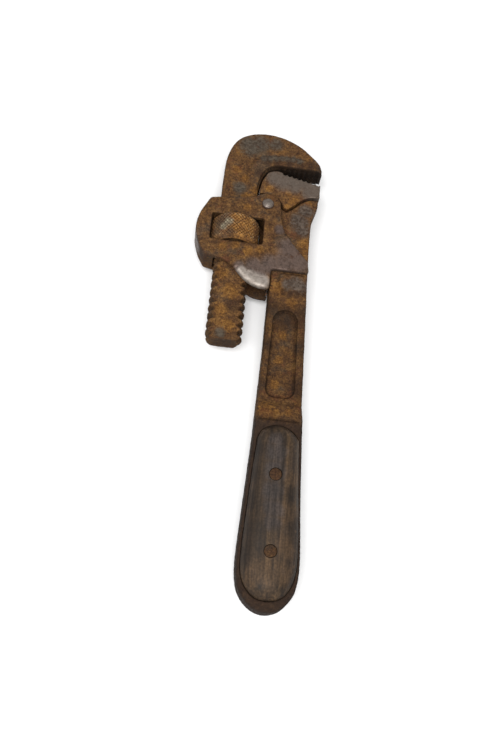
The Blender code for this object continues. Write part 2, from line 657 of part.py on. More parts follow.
def leaf(name, line, half_width):
    """A bent leaf spring: a line of points in the XY plane, thickened to both sides."""
    path = grown_line(line, SPRING_THICK / 2)
    return prism(name, parts, path, -half_width, half_width)


def grown_line(line, distance):
    """A closed strip round an open line."""
    left, right = [], []
    for i, spot in enumerate(line):
        before = Vector(line[max(0, i - 1)])
        after = Vector(line[min(len(line) - 1, i + 1)])
        along = (after - before).normalized()
        normal = Vector((-along.y, along.x)) * distance
        left.append(tuple(Vector(spot) + normal))
        right.append(tuple(Vector(spot) - normal))
    return left + right[::-1]


def make_frame_spring():
    """Leaf riveted to the bar's inner edge, bowed against the shank."""
    foot = BAR_LEFT_X - FIT_GAP - SPRING_THICK / 2 - 0.1
    bow = FIT_GAP + SPRING_THICK / 2 - SHANK_GAP
    low = PLATE_LOW_Y
    item = leaf("frame_spring", [
        (foot, low - 10.1), (foot, low - 4.3), (foot - 0.6, low - 2.5), (0.6, low - 0.7),
        (bow + 2.3, low + 0.7), (bow + 0.5, low + 2.5), (bow, low + 4.7), (bow + 0.6, low + 7.1),
        (bow + 2.5, low + 9.3), (bow + 4.3, low + 10.7),
    ], SPRING_HALF_WIDTH)
    combine(item, sideways(lathe("leaf_bore", cutters, [
        (0, 4), (1.5, 4), (1.5, 0), (0, 0),
    ], 16)), "DIFFERENCE")
    return item


def make_frame_spring_rivet():
    """Small rivet that holds the frame spring to the bar."""
    item = lathe("frame_spring_rivet", parts, [
        (0, 9.5), (1.2, 9.5), (1.2, 1.2), (2.3, 1.2), (2.3, 0.5), (1.6, 0.15), (0, 0),
    ], 16)
    return sideways(item)


def make_jaw_spring():
    """Leaf whose folded foot sits in the heel jaw's notch and whose blade bears on the hook."""
    blade = 1.95 - SHANK_GAP
    path = [
        (0.4, 9.1), (0.4, 13.2), (blade + 0.9, 13.2), (blade + 0.6, 15.0), (blade + 0.75, 16.4),
        (blade + 0.35, 16.5), (blade, 15.0), (blade + 0.2, 12.6), (blade + 0.3, 9.1),
    ]
    return prism("jaw_spring", parts, path, -SPRING_HALF_WIDTH, SPRING_HALF_WIDTH)


def finish(item, look):
    """Gives a piece a material of its own, from a (colour, roughness, metallic) look."""
    item.data.materials.clear()
    item.data.materials.append(material(item.name, *look))


# --------------------------------------------------------------------- assembly
clear_scene()
parts = new_collection("pipe_wrench")
cutters = new_collection("cutters")
root = bpy.data.objects.new("wrench_root", None)
parts.objects.link(root)
root.location = (-CENTRE_X * MM, -CENTRE_Y * MM, MID_Z * MM)

rusty = ((0.16, 0.09, 0.05), 0.75, 0.35)
worn = ((0.24, 0.21, 0.19), 0.5, 0.8)
spring_steel = ((0.12, 0.1, 0.09), 0.45, 0.8)
wood = ((0.09, 0.065, 0.05), 0.6, 0.0)

finish(make_handle(), rusty)
finish(make_heel_jaw(), worn)
finish(make_heel_pin(), worn)
finish(make_hook_jaw(), rusty)
finish(make_nut(), rusty)
finish(make_frame(), rusty)
finish(make_frame_pin(), worn)
finish(make_frame_spring(), spring_steel)
finish(make_frame_spring_rivet(), spring_steel)
finish(make_jaw_spring(), spring_steel)
finish(make_scale("front"), wood)
finish(make_scale("back"), wood)
finish(make_rivet("upper"), rusty)
finish(make_rivet("lower"), rusty)
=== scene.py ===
"""Old pipe wrench with a riveted wooden grip, lying on its back on a pale floor."""

import math

import bpy
from mathutils import Matrix, Vector


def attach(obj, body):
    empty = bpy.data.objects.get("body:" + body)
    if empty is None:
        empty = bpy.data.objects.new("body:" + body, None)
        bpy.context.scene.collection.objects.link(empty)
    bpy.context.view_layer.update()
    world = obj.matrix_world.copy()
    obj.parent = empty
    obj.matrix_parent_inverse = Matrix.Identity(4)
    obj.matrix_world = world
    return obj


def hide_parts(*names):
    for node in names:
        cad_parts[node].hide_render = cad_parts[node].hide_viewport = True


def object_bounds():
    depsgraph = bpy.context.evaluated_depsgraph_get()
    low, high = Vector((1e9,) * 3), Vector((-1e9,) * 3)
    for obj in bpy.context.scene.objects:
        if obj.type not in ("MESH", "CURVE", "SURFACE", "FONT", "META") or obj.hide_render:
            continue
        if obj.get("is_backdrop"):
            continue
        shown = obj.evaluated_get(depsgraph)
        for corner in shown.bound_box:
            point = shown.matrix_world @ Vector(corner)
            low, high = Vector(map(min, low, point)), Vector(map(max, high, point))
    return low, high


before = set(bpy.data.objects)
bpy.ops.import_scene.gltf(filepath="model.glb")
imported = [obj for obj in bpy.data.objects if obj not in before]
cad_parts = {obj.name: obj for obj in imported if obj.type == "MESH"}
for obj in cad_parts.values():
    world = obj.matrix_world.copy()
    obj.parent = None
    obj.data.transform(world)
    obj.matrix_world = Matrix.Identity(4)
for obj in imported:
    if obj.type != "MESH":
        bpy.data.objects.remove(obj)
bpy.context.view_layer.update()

# ------------------------------------------------------------------ handle bar
# One drop forging runs from the head to the butt: a flat head that carries the heel
# jaw, a bar with a sunk panel on both faces, a pad under the frame, and a thick rim and
# a thin web that hold the wood. It is brown with rust, with bare grey steel on the head.

MM = 0.001
PIN_X = 2.85            # middle of the frame's pin, from the object's origin
PIN_Y = 76.05
PIN_Z = 11.9
STOCK_HALF = 5.0        # half thickness of the bar and the hook jaw
PAD_HALF = 6.6
CORE_HALF = 2.0         # half thickness of the web between the scales
WOOD_EDGE_Z = 6.8       # where the wood's straight side ends
SCALE_HALF = 11.6       # crown of the wood
PANEL_GROOVE_Z = 3.5    # bottom of the groove round the sunk panel
PANEL_FLOOR_Z = 4.0     # its floor, inside the groove
GRIP_TOP_Y = -103.6
BUTT_Y = -196.3
GRIP_X = 14.8
GRIP_WIDTH = 27.2
PIN_R = 2.2
GAP = 0.3               # between pieces that touch
RIVETS = {"upper": (14.3, -138.6), "lower": (14.7, -171.8)}
RIVET_R = 1.6
HEEL_PIN_SPOT = (14.5, -4.5)
HEEL_PIN_R = 1.5


def at(x, y, z=0.0):
    """A place in metres, from millimetres measured from the middle of the frame's pin."""
    return Vector(((x + PIN_X) * MM, (y + PIN_Y) * MM, (z + PIN_Z) * MM))


def pick(piece):
    bpy.ops.object.select_all(action="DESELECT")
    piece.select_set(True)
    bpy.context.view_layer.objects.active = piece


def apply(piece, kind, **settings):
    """Adds a modifier to a piece and applies it."""
    step = piece.modifiers.new(kind.lower(), kind)
    for key, value in settings.items():
        setattr(step, key, value)
    pick(piece)
    bpy.ops.object.modifier_apply(modifier=step.name)


def weld(piece, flat=0.0005):
    pick(piece)
    bpy.ops.object.mode_set(mode="EDIT")
    bpy.ops.mesh.select_all(action="SELECT")
    bpy.ops.mesh.remove_doubles(threshold=1e-6)
    if flat:
        bpy.ops.mesh.dissolve_limited(angle_limit=flat)
        bpy.ops.mesh.select_all(action="SELECT")
    bpy.ops.mesh.normals_make_consistent(inside=False)
    bpy.ops.object.mode_set(mode="OBJECT")


def settle(piece):
    """Puts a piece's place and turn into its vertices."""
    pick(piece)
    bpy.ops.object.transform_apply(location=True, rotation=True, scale=True)
    return piece


def fillet(before, corner, after, radius):
    """Arc points, in place of a corner."""
    into = (Vector(before[:2]) - Vector(corner[:2])).normalized()
    out = (Vector(after[:2]) - Vector(corner[:2])).normalized()
    half = into.angle(out) / 2
    reach = radius / math.tan(half)
    centre = Vector(corner[:2]) + (into + out).normalized() * radius / math.sin(half)
    start = Vector(corner[:2]) + into * reach - centre
    sweep = start.angle_signed(Vector(corner[:2]) + out * reach - centre)
    count = max(3, round(abs(sweep) / math.radians(15)))
    turned_spots = (Matrix.Rotation(-sweep * i / count, 2) @ start for i in range(count + 1))
    return [(*(centre + v), "corner") for v in turned_spots]


def outline(points, steps=6):
    """Closed outline. A point is (x, y) at a corner, (x, y, "smooth") or (x, y, fillet radius)."""
    count = len(points)
    knots = []
    for i, point in enumerate(points):
        kind = point[2] if len(point) == 3 else "corner"
        if isinstance(kind, str):
            knots.append((point[0], point[1], kind))
        else:
            knots.extend(fillet(points[i - 1], point, points[(i + 1) % count], kind))
    count = len(knots)
    path = []
    for i in range(count):
        a, b, c, d = (knots[(i + k) % count] for k in (-1, 0, 1, 2))
        if b[2] == c[2] == "corner":
            path.append(b[:2])
            continue
        chord = Vector(c[:2]) - Vector(b[:2])
        leave = (Vector(c[:2]) - Vector(a[:2])) / 2 if b[2] == "smooth" else chord
        reach = (Vector(d[:2]) - Vector(b[:2])) / 2 if c[2] == "smooth" else chord
        leave = leave.normalized() * chord.length
        reach = reach.normalized() * chord.length
        for k in range(steps):
            t = k / steps
            spot = Vector(b[:2]) * (2 * t**3 - 3 * t**2 + 1) + leave * (t**3 - 2 * t**2 + t)
            spot += Vector(c[:2]) * (3 * t**2 - 2 * t**3) + reach * (t**3 - t**2)
            path.append(tuple(spot))
    return path


def grown(path, distance):
    """The outline moved outwards by a distance."""
    area = sum(a[0] * b[1] - b[0] * a[1] for a, b in zip(path, path[1:] + path[:1]))
    side = 1 if area > 0 else -1
    moved = []
    for i, spot in enumerate(path):
        before = (Vector(spot) - Vector(path[i - 1])).normalized()
        after = (Vector(path[(i + 1) % len(path)]) - Vector(spot)).normalized()
        along = (before + after).normalized()
        normal = Vector((along.y, -along.x)) * side
        moved.append(tuple(Vector(spot) + normal * distance / max(0.5, along.dot(after))))
    return moved


def arc(radius, first, last, count):
    """Points round the frame's pin, with angles in degrees."""
    turns = [math.radians(first + (last - first) * i / (count - 1)) for i in range(count)]
    return [(radius * math.cos(turn), radius * math.sin(turn)) for turn in turns]


def plate(name, path, low, high):
    """A flat bar cut to an outline, between two heights."""
    sketch = bpy.data.curves.new(name, "CURVE")
    sketch.dimensions = "2D"
    sketch.fill_mode = "BOTH"
    sketch.extrude = (high - low) / 2 * MM
    line = sketch.splines.new("POLY")
    line.points.add(len(path) - 1)
    for knot, (x, y) in zip(line.points, path):
        knot.co = (x * MM, y * MM, 0, 1)
    line.use_cyclic_u = True
    blank = bpy.data.objects.new(name, sketch)
    bpy.context.collection.objects.link(blank)
    blank.location = at(0, 0, (low + high) / 2)
    pick(blank)
    bpy.ops.object.convert(target="MESH")
    blank = settle(bpy.context.object)
    weld(blank)
    return blank


def block(low, high, name="block"):
    bpy.ops.object.select_all(action="DESELECT")
    bpy.ops.mesh.primitive_cube_add(size=1, location=(at(*low) + at(*high)) / 2)
    made = bpy.context.object
    made.name = name
    made.scale = at(*high) - at(*low)
    return settle(made)


def rod(spot, radius, low, high, sides=32):
    """A round bar through the wrench's thickness."""
    bpy.ops.object.select_all(action="DESELECT")
    bpy.ops.mesh.primitive_cylinder_add(vertices=sides, radius=radius * MM, depth=(high - low) * MM,
                                        location=at(*spot, (low + high) / 2))
    return settle(bpy.context.object)


def carve(piece, tool, operation="DIFFERENCE"):
    apply(piece, "BOOLEAN", operation=operation, solver="EXACT", object=tool)
    bpy.data.objects.remove(tool, do_unlink=True)


def gather(piece, *others):
    """Puts other closed solids into a piece. The even mesh that follows makes them one skin."""
    pick(piece)
    for other in others:
        other.select_set(True)
    bpy.ops.object.join()


def soften(piece, width, steps=3, sharper=35, near=None):
    """Rounds the sharp edges whose middle, in millimetres from the pin, passes the test."""
    pick(piece)
    bpy.context.tool_settings.mesh_select_mode = (False, True, False)
    bpy.ops.object.mode_set(mode="EDIT")
    bpy.ops.mesh.select_all(action="DESELECT")
    bpy.ops.mesh.edges_select_sharp(sharpness=math.radians(sharper))
    bpy.ops.object.mode_set(mode="OBJECT")
    if near:
        mesh = piece.data
        for edge in mesh.edges:
            a, b = (mesh.vertices[i].co for i in edge.vertices)
            x, y, z = ((a + b) / 2 - at(0, 0)) / MM
            edge.select = edge.select and near(x, y, z)
    bpy.ops.object.mode_set(mode="EDIT")
    bpy.ops.mesh.bevel(offset=width * MM, segments=steps, affect="EDGES")
    bpy.ops.object.mode_set(mode="OBJECT")


def crown(piece, path, side, steps):
    """Raises one face of a flat piece to a dome, by (inset, height) steps in millimetres."""
    xs = [spot[0] for spot in path]
    ys = [spot[1] for spot in path]
    half_x = (max(xs) - min(xs)) / 2
    half_y = (max(ys) - min(ys)) / 2
    middle = at(min(xs) + half_x, min(ys) + half_y)
    pick(piece)
    bpy.context.tool_settings.mesh_select_mode = (False, False, True)
    bpy.ops.object.mode_set(mode="EDIT")
    bpy.ops.mesh.select_all(action="DESELECT")
    bpy.ops.object.mode_set(mode="OBJECT")
    for face in piece.data.polygons:
        face.select = face.normal.z * side > 0.9
    bpy.ops.object.mode_set(mode="EDIT")
    last_in, last_up = 0.0, 0.0
    for inset, up in steps:
        bpy.ops.mesh.extrude_region_move(
            TRANSFORM_OT_translate={"value": (0, 0, side * (up - last_up) * MM)})
        bpy.ops.transform.resize(
            value=((half_x - inset) / (half_x - last_in), (half_y - inset) / (half_y - last_in), 1),
            center_override=middle)
        last_in, last_up = inset, up
    bpy.ops.mesh.select_all(action="SELECT")
    bpy.ops.mesh.normals_make_consistent(inside=False)
    bpy.ops.object.mode_set(mode="OBJECT")


def roughen(piece, name, size, height):
    """Moves the skin in and out by a cloudy pattern with bumps of a size, in millimetres."""
    clouds = bpy.data.textures.new(name, "CLOUDS")
    clouds.noise_scale = size * MM
    clouds.noise_depth = 3
    apply(piece, "DISPLACE", texture=clouds, texture_coords="LOCAL", strength=height * MM,
          mid_level=0.5)


def weather(piece, grain, melt=3, wave=0.22, pit=0.16):
    """A forging after years of rust: a fine even skin, edges worn soft, broad waves and pits."""
    apply(piece, "REMESH", mode="VOXEL", voxel_size=grain * MM, use_smooth_shade=True)
    apply(piece, "SMOOTH", factor=0.5, iterations=melt)
    roughen(piece, "forge waves", 4.5, wave)
    roughen(piece, "rust pits", 1.1, pit)
    pick(piece)
    bpy.ops.object.shade_smooth()


def rub(piece, times, near):
    """Wears one part of a fine skin rounder, where the millimetres from the pin pass the test."""
    pick(piece)
    bpy.context.tool_settings.mesh_select_mode = (True, False, False)
    bpy.ops.object.mode_set(mode="EDIT")
    bpy.ops.mesh.select_all(action="DESELECT")
    bpy.ops.object.mode_set(mode="OBJECT")
    for v in piece.data.vertices:
        v.select = near(*((v.co - at(0, 0)) / MM))
    bpy.ops.object.mode_set(mode="EDIT")
    bpy.ops.mesh.vertices_smooth(factor=0.5, repeat=times)
    bpy.ops.object.mode_set(mode="OBJECT")


def rgb(red, green, blue):
    """A display colour as the shader's linear one."""
    shares = [(c / 255 / 12.92) if c <= 10 else ((c / 255 + 0.055) / 1.055) ** 2.4
              for c in (red, green, blue)]
    return (*shares, 1.0)


def node(tree, kind, plugs, out=0, **settings):
    made = tree.nodes.new("ShaderNode" + kind)
    for key, value in settings.items():
        setattr(made, key, value)
    for key, value in plugs.items():
        if isinstance(value, bpy.types.NodeSocket):
            tree.links.new(value, made.inputs[key])
        else:
            made.inputs[key].default_value = value
    return made.outputs[out]


def fresh_material(name):
    """A new material, with its node tree, its shader and its place on the piece."""
    made = bpy.data.materials.new(name)
    made.use_nodes = True
    tree = made.node_tree
    return made, tree, tree.nodes["Principled BSDF"], node(tree, "TexCoord", {}, out="Object")


def ramp(tree, value, *stops):
    made = tree.nodes.new("ShaderNodeValToRGB")
    tree.links.new(value, made.inputs[0])
    band = made.color_ramp
    while len(band.elements) < len(stops):
        band.elements.new(0.5)
    for element, (place, colour) in zip(band.elements, stops):
        element.position = place
        element.color = colour
    return made.outputs[0]


def noise(tree, spot, scale, detail=5, roughness=0.6):
    return node(tree, "TexNoise", {"Vector": spot, "Scale": scale, "Detail": detail,
                                   "Roughness": roughness})


def between(tree, value, low, high, bottom=0.0, top=1.0):
    return node(tree, "MapRange", {"Value": value, "From Min": low, "From Max": high,
                                   "To Min": bottom, "To Max": top},
                interpolation_type="SMOOTHSTEP")


def maths(tree, operation, a, b):
    return node(tree, "Math", {0: a, 1: b}, operation=operation)


def blend(tree, share, under, over, kind="MIX"):
    return node(tree, "MixRGB", {"Fac": share, "Color1": under, "Color2": over}, blend_type=kind)


def patches(tree, place, spots, fuzz):
    """How far inside any of the (x, y, z, reach) patches a point is, with ragged edges."""
    share = 0.0
    for x, y, z, reach in spots:
        away = node(tree, "VectorMath", {0: place, 1: at(x, y, z)}, out="Value",
                    operation="DISTANCE")
        inside = between(tree, away, reach * 1.6 * MM, reach * 0.2 * MM)
        share = maths(tree, "MAXIMUM", share, inside)
    ragged = maths(tree, "MULTIPLY", maths(tree, "SUBTRACT", fuzz, 0.5), 3.0)
    return between(tree, maths(tree, "ADD", share, ragged), 0.12, 1.0)


def rusted_steel(name, bare_and_highlight=(), ochre=(), dark_rust_and_shade=(), silver=(), under=(), edge=0.6, seed=0.0,
                 ochre_share=0.4, relief=1.0, bright=0.85, grey=(96, 85, 76), sheen=0.5,
                 crease_shade=(0.43, 0.5), sides=0.62, cover=(0.35, 0.85), ragged=1.0, painted_shade_span=None,
                 sooty_below=None):
    """Rust over forged steel: red-brown, brown and ochre mottling, with bare grey patches.

    Bare, ochre, dark and silver are patches of (x, y, z, reach). Bare patches are worn steel,
    and in places also a painted highlight; dark patches are darker rust, and in places painted
    shade; silver patches are rubbed steel whose colour also holds a painted highlight. Under
    is where faces that look towards the grip are painted black, as painted shadow. The painted
    shade span is (from y, to y, share of light kept). Sides, the crease range and bright are
    painted shade on faces turned from up, in hollows and over the rest; bright above 1 paints
    a highlight on crests.
    """
    made, tree, shader, place = fresh_material(name)
    spot = node(tree, "Mapping", {"Vector": place, "Location": (seed, seed * 0.6, seed * 0.3)})
    broad = noise(tree, spot, 95, 5, 0.6)
    mottle = noise(tree, spot, 760, 8, 0.72)
    drift = noise(tree, spot, 230, 9, 0.72)
    speck = noise(tree, spot, 1500, 4, 0.65)
    grit = noise(tree, spot, 3600, 2, 0.5)
    even = (0.5, 0.5, 0.5, 1)
    uneven = maths(tree, "MULTIPLY", maths(tree, "ADD", drift, mottle), 0.5)
    fuzz = blend(tree, ragged, even, uneven)
    mixed = blend(tree, 0.35, mottle, drift)
    rust = ramp(tree, mixed, (0.36, rgb(56, 37, 26)), (0.46, rgb(82, 57, 37)),
                (0.54, rgb(103, 74, 45)), (0.66, rgb(134, 99, 58)))
    gold = ramp(tree, mixed, (0.36, rgb(82, 55, 30)), (0.5, rgb(116, 79, 39)),
                (0.64, rgb(158, 114, 56)))
    drab = ramp(tree, mixed, (0.36, rgb(60, 50, 41)), (0.64, rgb(98, 83, 66)))
    rust = blend(tree, between(tree, broad, 0.5, 0.36, 0.0, 0.6), rust, drab)
    patchy = maths(tree, "MULTIPLY", between(tree, broad, 0.5, 0.72), ochre_share)
    patchy = maths(tree, "MAXIMUM", patchy,
                   maths(tree, "MULTIPLY", patches(tree, place, ochre, fuzz), 0.85))
    rust = blend(tree, patchy, rust, gold)
    red = maths(tree, "MULTIPLY", between(tree, noise(tree, spot, 150, 6, 0.7), 0.54, 0.66), 0.5)
    rust = blend(tree, red, rust, rgb(98, 58, 38))
    # Dark patches: darker rust, and in places painted shade and painted shadow.
    shade = maths(tree, "MULTIPLY", patches(tree, place, dark_rust_and_shade, fuzz), 0.6)
    rust = blend(tree, shade, rust, rgb(48, 34, 27))
    rust = blend(tree, 1.0, rust, between(tree, speck, 0.32, 0.68, 0.62, 1.36), "MULTIPLY")
    metal = ramp(tree, mixed, (0.34, rgb(*(c * 0.84 for c in grey))), (0.5, rgb(*grey)),
                 (0.66, rgb(*(min(255, c * 1.14) for c in grey))))
    metal = blend(tree, between(tree, speck, 0.56, 0.7, 0.0, 0.9 - cover[0]), metal,
                  rgb(88, 66, 48))
    point = node(tree, "NewGeometry", {}, out="Pointiness")
    # Edges lighten to bare steel: wear, and also a painted edge highlight.
    edge_wear_and_highlight = maths(tree, "MULTIPLY", between(tree, point, 0.515, 0.58), edge)
    edge_wear_and_highlight = maths(tree, "MULTIPLY", edge_wear_and_highlight, between(tree, drift, 0.4, 0.6))
    # Bare patches are worn steel, and in places also a painted highlight.
    clean = maths(tree, "MAXIMUM", edge_wear_and_highlight, patches(tree, place, bare_and_highlight, fuzz))
    clean = maths(tree, "MULTIPLY", clean, between(tree, mottle, 0.36, 0.54, cover[0], cover[1]))
    colour = blend(tree, clean, rust, metal)
    along = node(tree, "SeparateXYZ", {0: place}, out=1)
    # Painted shade: the colour darkens along y over the given span.
    if painted_shade_span:
        painted_shade_factor = between(tree, along, at(0, painted_shade_span[0]).y, at(0, painted_shade_span[1]).y, 1.0, painted_shade_span[2])
        colour = blend(tree, 1.0, colour, painted_shade_factor, "MULTIPLY")
    if sooty_below is not None:
        sooty = between(tree, along, at(0, sooty_below + 4).y, at(0, sooty_below - 4).y)
        soot = ramp(tree, mixed, (0.36, rgb(36, 27, 22)), (0.64, rgb(60, 46, 37)))
        colour = blend(tree, maths(tree, "MULTIPLY", sooty, 0.9), colour, soot)
    # Silver patches: rubbed bright steel, with a painted highlight in their colour.
    if silver:
        shiny = patches(tree, place, silver, blend(tree, 0.6, fuzz, even))
        bright_metal = ramp(tree, mixed, (0.34, rgb(122, 111, 103)), (0.5, rgb(156, 145, 135)),
                            (0.66, rgb(182, 172, 162)))
        colour = blend(tree, shiny, colour, bright_metal)
        clean = maths(tree, "MAXIMUM", clean, shiny)
    # Painted side shade: faces that turn away from up are darker.
    turned_to = node(tree, "TexCoord", {}, out="Normal")
    level = maths(tree, "ABSOLUTE", node(tree, "SeparateXYZ", {0: turned_to}, out=2), 0.0)
    colour = blend(tree, 1.0, colour, between(tree, level, 0.2, 0.9, sides, 1.0), "MULTIPLY")
    # Painted shadow: faces that look towards the grip, inside the under patches, go nearly black.
    if under:
        down = between(tree, node(tree, "SeparateXYZ", {0: turned_to}, out=1), -0.15, -0.6)
        painted_dark_shade = maths(tree, "MULTIPLY", patches(tree, place, under, 0.5), down)
        colour = blend(tree, maths(tree, "MULTIPLY", painted_dark_shade, 0.85), colour, rgb(22, 17, 14))
    # Painted shade in hollows and creases, from the pointiness; bright scales the rest, and above 1
    # paints a highlight on crests.
    colour = blend(tree, 1.0, colour,
                   between(tree, point, crease_shade[0], crease_shade[1], 0.3, bright), "MULTIPLY")
    tree.links.new(colour, shader.inputs["Base Color"])
    tree.links.new(maths(tree, "MULTIPLY", clean, 0.6), shader.inputs["Metallic"])
    tree.links.new(between(tree, clean, 0, 1, 0.1, 0.5), shader.inputs["Specular IOR Level"])
    dull = between(tree, mottle, 0.3, 0.7, 0.7, 0.92)
    dull = blend(tree, clean, dull, between(tree, speck, 0.3, 0.7, sheen - 0.06, sheen + 0.12))
    tree.links.new(dull, shader.inputs["Roughness"])
    pits = node(tree, "TexVoronoi", {"Vector": spot, "Scale": 620.0})
    height = maths(tree, "ADD", maths(tree, "MULTIPLY", mottle, 1.6), speck)
    height = maths(tree, "ADD", height, maths(tree, "MULTIPLY", grit, 0.35))
    height = maths(tree, "ADD", height, between(tree, pits, 0.05, 0.4, 0.0, 0.5))
    calm = between(tree, clean, 0.0, 1.0, 1.0, 0.3)
    bump = node(tree, "Bump", {"Height": maths(tree, "MULTIPLY", height, calm),
                               "Distance": 0.00036 * relief, "Strength": 0.9})
    tree.links.new(bump, shader.inputs["Normal"])
    return made


def finish(piece, material, body, *stands_for):
    """Gives a piece its material and its place on a body of the wrench."""
    piece.data.materials.clear()
    piece.data.materials.append(material)
    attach(piece, body)
    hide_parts(*stands_for)


def on_grip(points):
    """Outline points given as shares of the grip's width and length."""
    length = GRIP_TOP_Y - BUTT_Y
    return outline([(GRIP_X + GRIP_WIDTH * p[0], GRIP_TOP_Y - length * p[1], *p[2:])
                    for p in points])


grip_path = on_grip([
    (-0.41, 0.0), (0.36, 0.0), (0.385, 0.07), (0.427, 0.36, "smooth"), (0.46, 0.545, "smooth"),
    (0.492, 0.695, "smooth"), (0.5, 0.787, "smooth"), (0.475, 0.87, "smooth"),
    (0.397, 0.93, "smooth"), (0.235, 0.981, "smooth"), (0.04, 1.0, "smooth"),
    (-0.162, 0.989, "smooth"), (-0.345, 0.947, "smooth"), (-0.452, 0.893, "smooth"),
    (-0.5, 0.813, "smooth"), (-0.5, 0.695, "smooth"), (-0.452, 0.39, "smooth"), (-0.415, 0.155),
])
wood_path = on_grip([
    (-0.345, 0.188), (-0.25, 0.145, "smooth"), (-0.025, 0.121, "smooth"), (0.213, 0.145, "smooth"),
    (0.342, 0.188), (0.379, 0.393, "smooth"), (0.423, 0.587, "smooth"), (0.448, 0.77, "smooth"),
    (0.397, 0.862, "smooth"), (0.25, 0.928, "smooth"), (0.03, 0.949, "smooth"),
    (-0.198, 0.936, "smooth"), (-0.375, 0.878, "smooth"), (-0.441, 0.792, "smooth"),
    (-0.426, 0.608, "smooth"), (-0.39, 0.393, "smooth"),
])
handle = plate("forged_handle", outline([
    (-4.1, -3.4, "smooth"), (-4.1, 3.6, "smooth"), *arc(6.8, 112, 22, 5), (7.4, 0.4),
    (9.7, -1.2, 0.6), (13.1, 1.5, "smooth"), (16.9, 5.2, "smooth"), (20.8, 7.6, "smooth"),
    (25.6, 8.2, 1.0), (25.4, 3.9), (23.3, -3.4, "smooth"), (22.6, -13.1, "smooth"), (22.9, -36.1),
    (24.7, -106.0), (3.7, -106.0), (4.5, -75.0), (4.7, -37.5), (1.2, -22.0), (0.4, -10.0),
]), -STOCK_HALF, STOCK_HALF)
soften(handle, 1.3, 3)
panel = outline([
    (7.9, -60.5), (10.0, -57.2, "smooth"), (13.8, -56.0, "smooth"), (17.6, -57.2, "smooth"),
    (19.7, -60.5), (20.8, -101.0, 4.5), (6.9, -101.0, 4.5),
])
carve(handle, plate("panel", panel, PANEL_GROOVE_Z, 7.0))
carve(handle, plate("panel", panel, -7.0, -PANEL_GROOVE_Z))
carve(handle, rod((0, 0), PIN_R + GAP, -10, 10))
carve(handle, block((8.7, -9.3, -2.5), (19.3, 12.0, 2.5)))
carve(handle, rod(HEEL_PIN_SPOT, HEEL_PIN_R + GAP, -4.2, 4.2))
carve(handle, block((2.0, -43.7, -1.2), (6.9, -41.3, 1.2)))
pad = plate("pad", outline([
    (9.0, -37.1), (22.3, -37.1), (22.5, -45.4, 2.0), (15.0, -46.5), (9.2, -45.2, 3.0),
]), -PAD_HALF, PAD_HALF)
soften(pad, 1.2, 4)
grip = plate("grip", grip_path, -4.2, 4.2)
for side in (1, -1):
    crown(grip, grip_path, side, ((0.2, 0.9), (0.6, 1.6), (1.2, 2.2), (2.0, 2.55), (3.0, 2.7)))
for low, high in ((6.0, 9.0), (-9.0, -6.0)):
    carve(grip, block((0.0, -112.6, low), (30.0, -111.5, high)))
carve(grip, plate("wood_bed", grown(wood_path, 0.12), -SCALE_HALF, SCALE_HALF))
web = plate("web", grown(wood_path, GAP + 0.9), -CORE_HALF, CORE_HALF)
for x, y in RIVETS.values():
    carve(web, rod((x, y), RIVET_R + GAP, -4, 4))
field = plate("field", grown(panel, -1.5), -PANEL_FLOOR_Z, PANEL_FLOOR_Z)
gather(handle, pad, grip, web, field)
weather(handle, 0.45, 2, 0.22, 0.22)
rub(handle, 25, lambda x, y, z: -108.0 < y < -102.4 and abs(z) > 3.0)
finish(handle, rusted_steel(
    "rusty handle steel", seed=0.3,
    bare_and_highlight=[(16.7, -6.0, 5, 5), (19.6, 0.5, 5, 4.5), (18.5, -11.0, 5, 4), (13.5, -43.0, 6.6, 3.5),
          (17.0, -42.5, 6.6, 4.5), (20, -43, 6.6, 3)],
    ochre=[(21.0, -20, 5, 5), (21.0, 4.5, 5, 3), (9.1, -45.3, 5, 4.5), (16, -52, 5, 3),
           (8.0, -108.5, 6.0, 5), (12.0, -109.5, 6.5, 3.5), (18.5, -108.0, 6, 2.5),
           (11.0, -94, 4, 3), (12, -82, 4, 2.5), (13, -69, 4, 2.5)],
    # The last four dark spots are painted shadow under the pad's lower edge; the others darken
    # round the panel and along the bar's edges.
    dark_rust_and_shade=[(14, -60, 4, 7), (5, -55, 5, 6), (22, -58, 5, 6), (6, -75, 5, 4),
          (23.0, -75, 5, 5), (23, -95, 5, 6), (4, -95, 5, 4), (11.5, -47.0, 5, 1.8),
          (15, -47.6, 5, 1.8), (18.5, -47.2, 5, 1.8), (21.5, -46.6, 5, 1.8)],
    # Painted shade: the bar and grip are darkened from below the pad downwards.
    painted_shade_span=(-45.0, -58.0, 0.8), sooty_below=-111.5,
), "handle", "handle_bar")

# -------------------------------------------------------------------- heel jaw
# The fixed jaw is a hardened steel block with eight teeth. A tongue under it sits in a
# slot in the head, and its sides stand a little above the head. It is worn bare and grey.


def teeth(start, end, count, depth):
    """Zigzag points from start to end, with each tooth's tip on the line between them."""
    line = Vector(end) - Vector(start)
    down = Vector((line.y, -line.x)).normalized() * depth
    points = []
    for i in range(count):
        for share, sunk in ((0.15, 0.0), (0.4, 1.0), (0.8, 1.0)):
            spot = Vector(start) + line * (i + share) / count + down * sunk
            points.append((spot.x, spot.y))
    return points


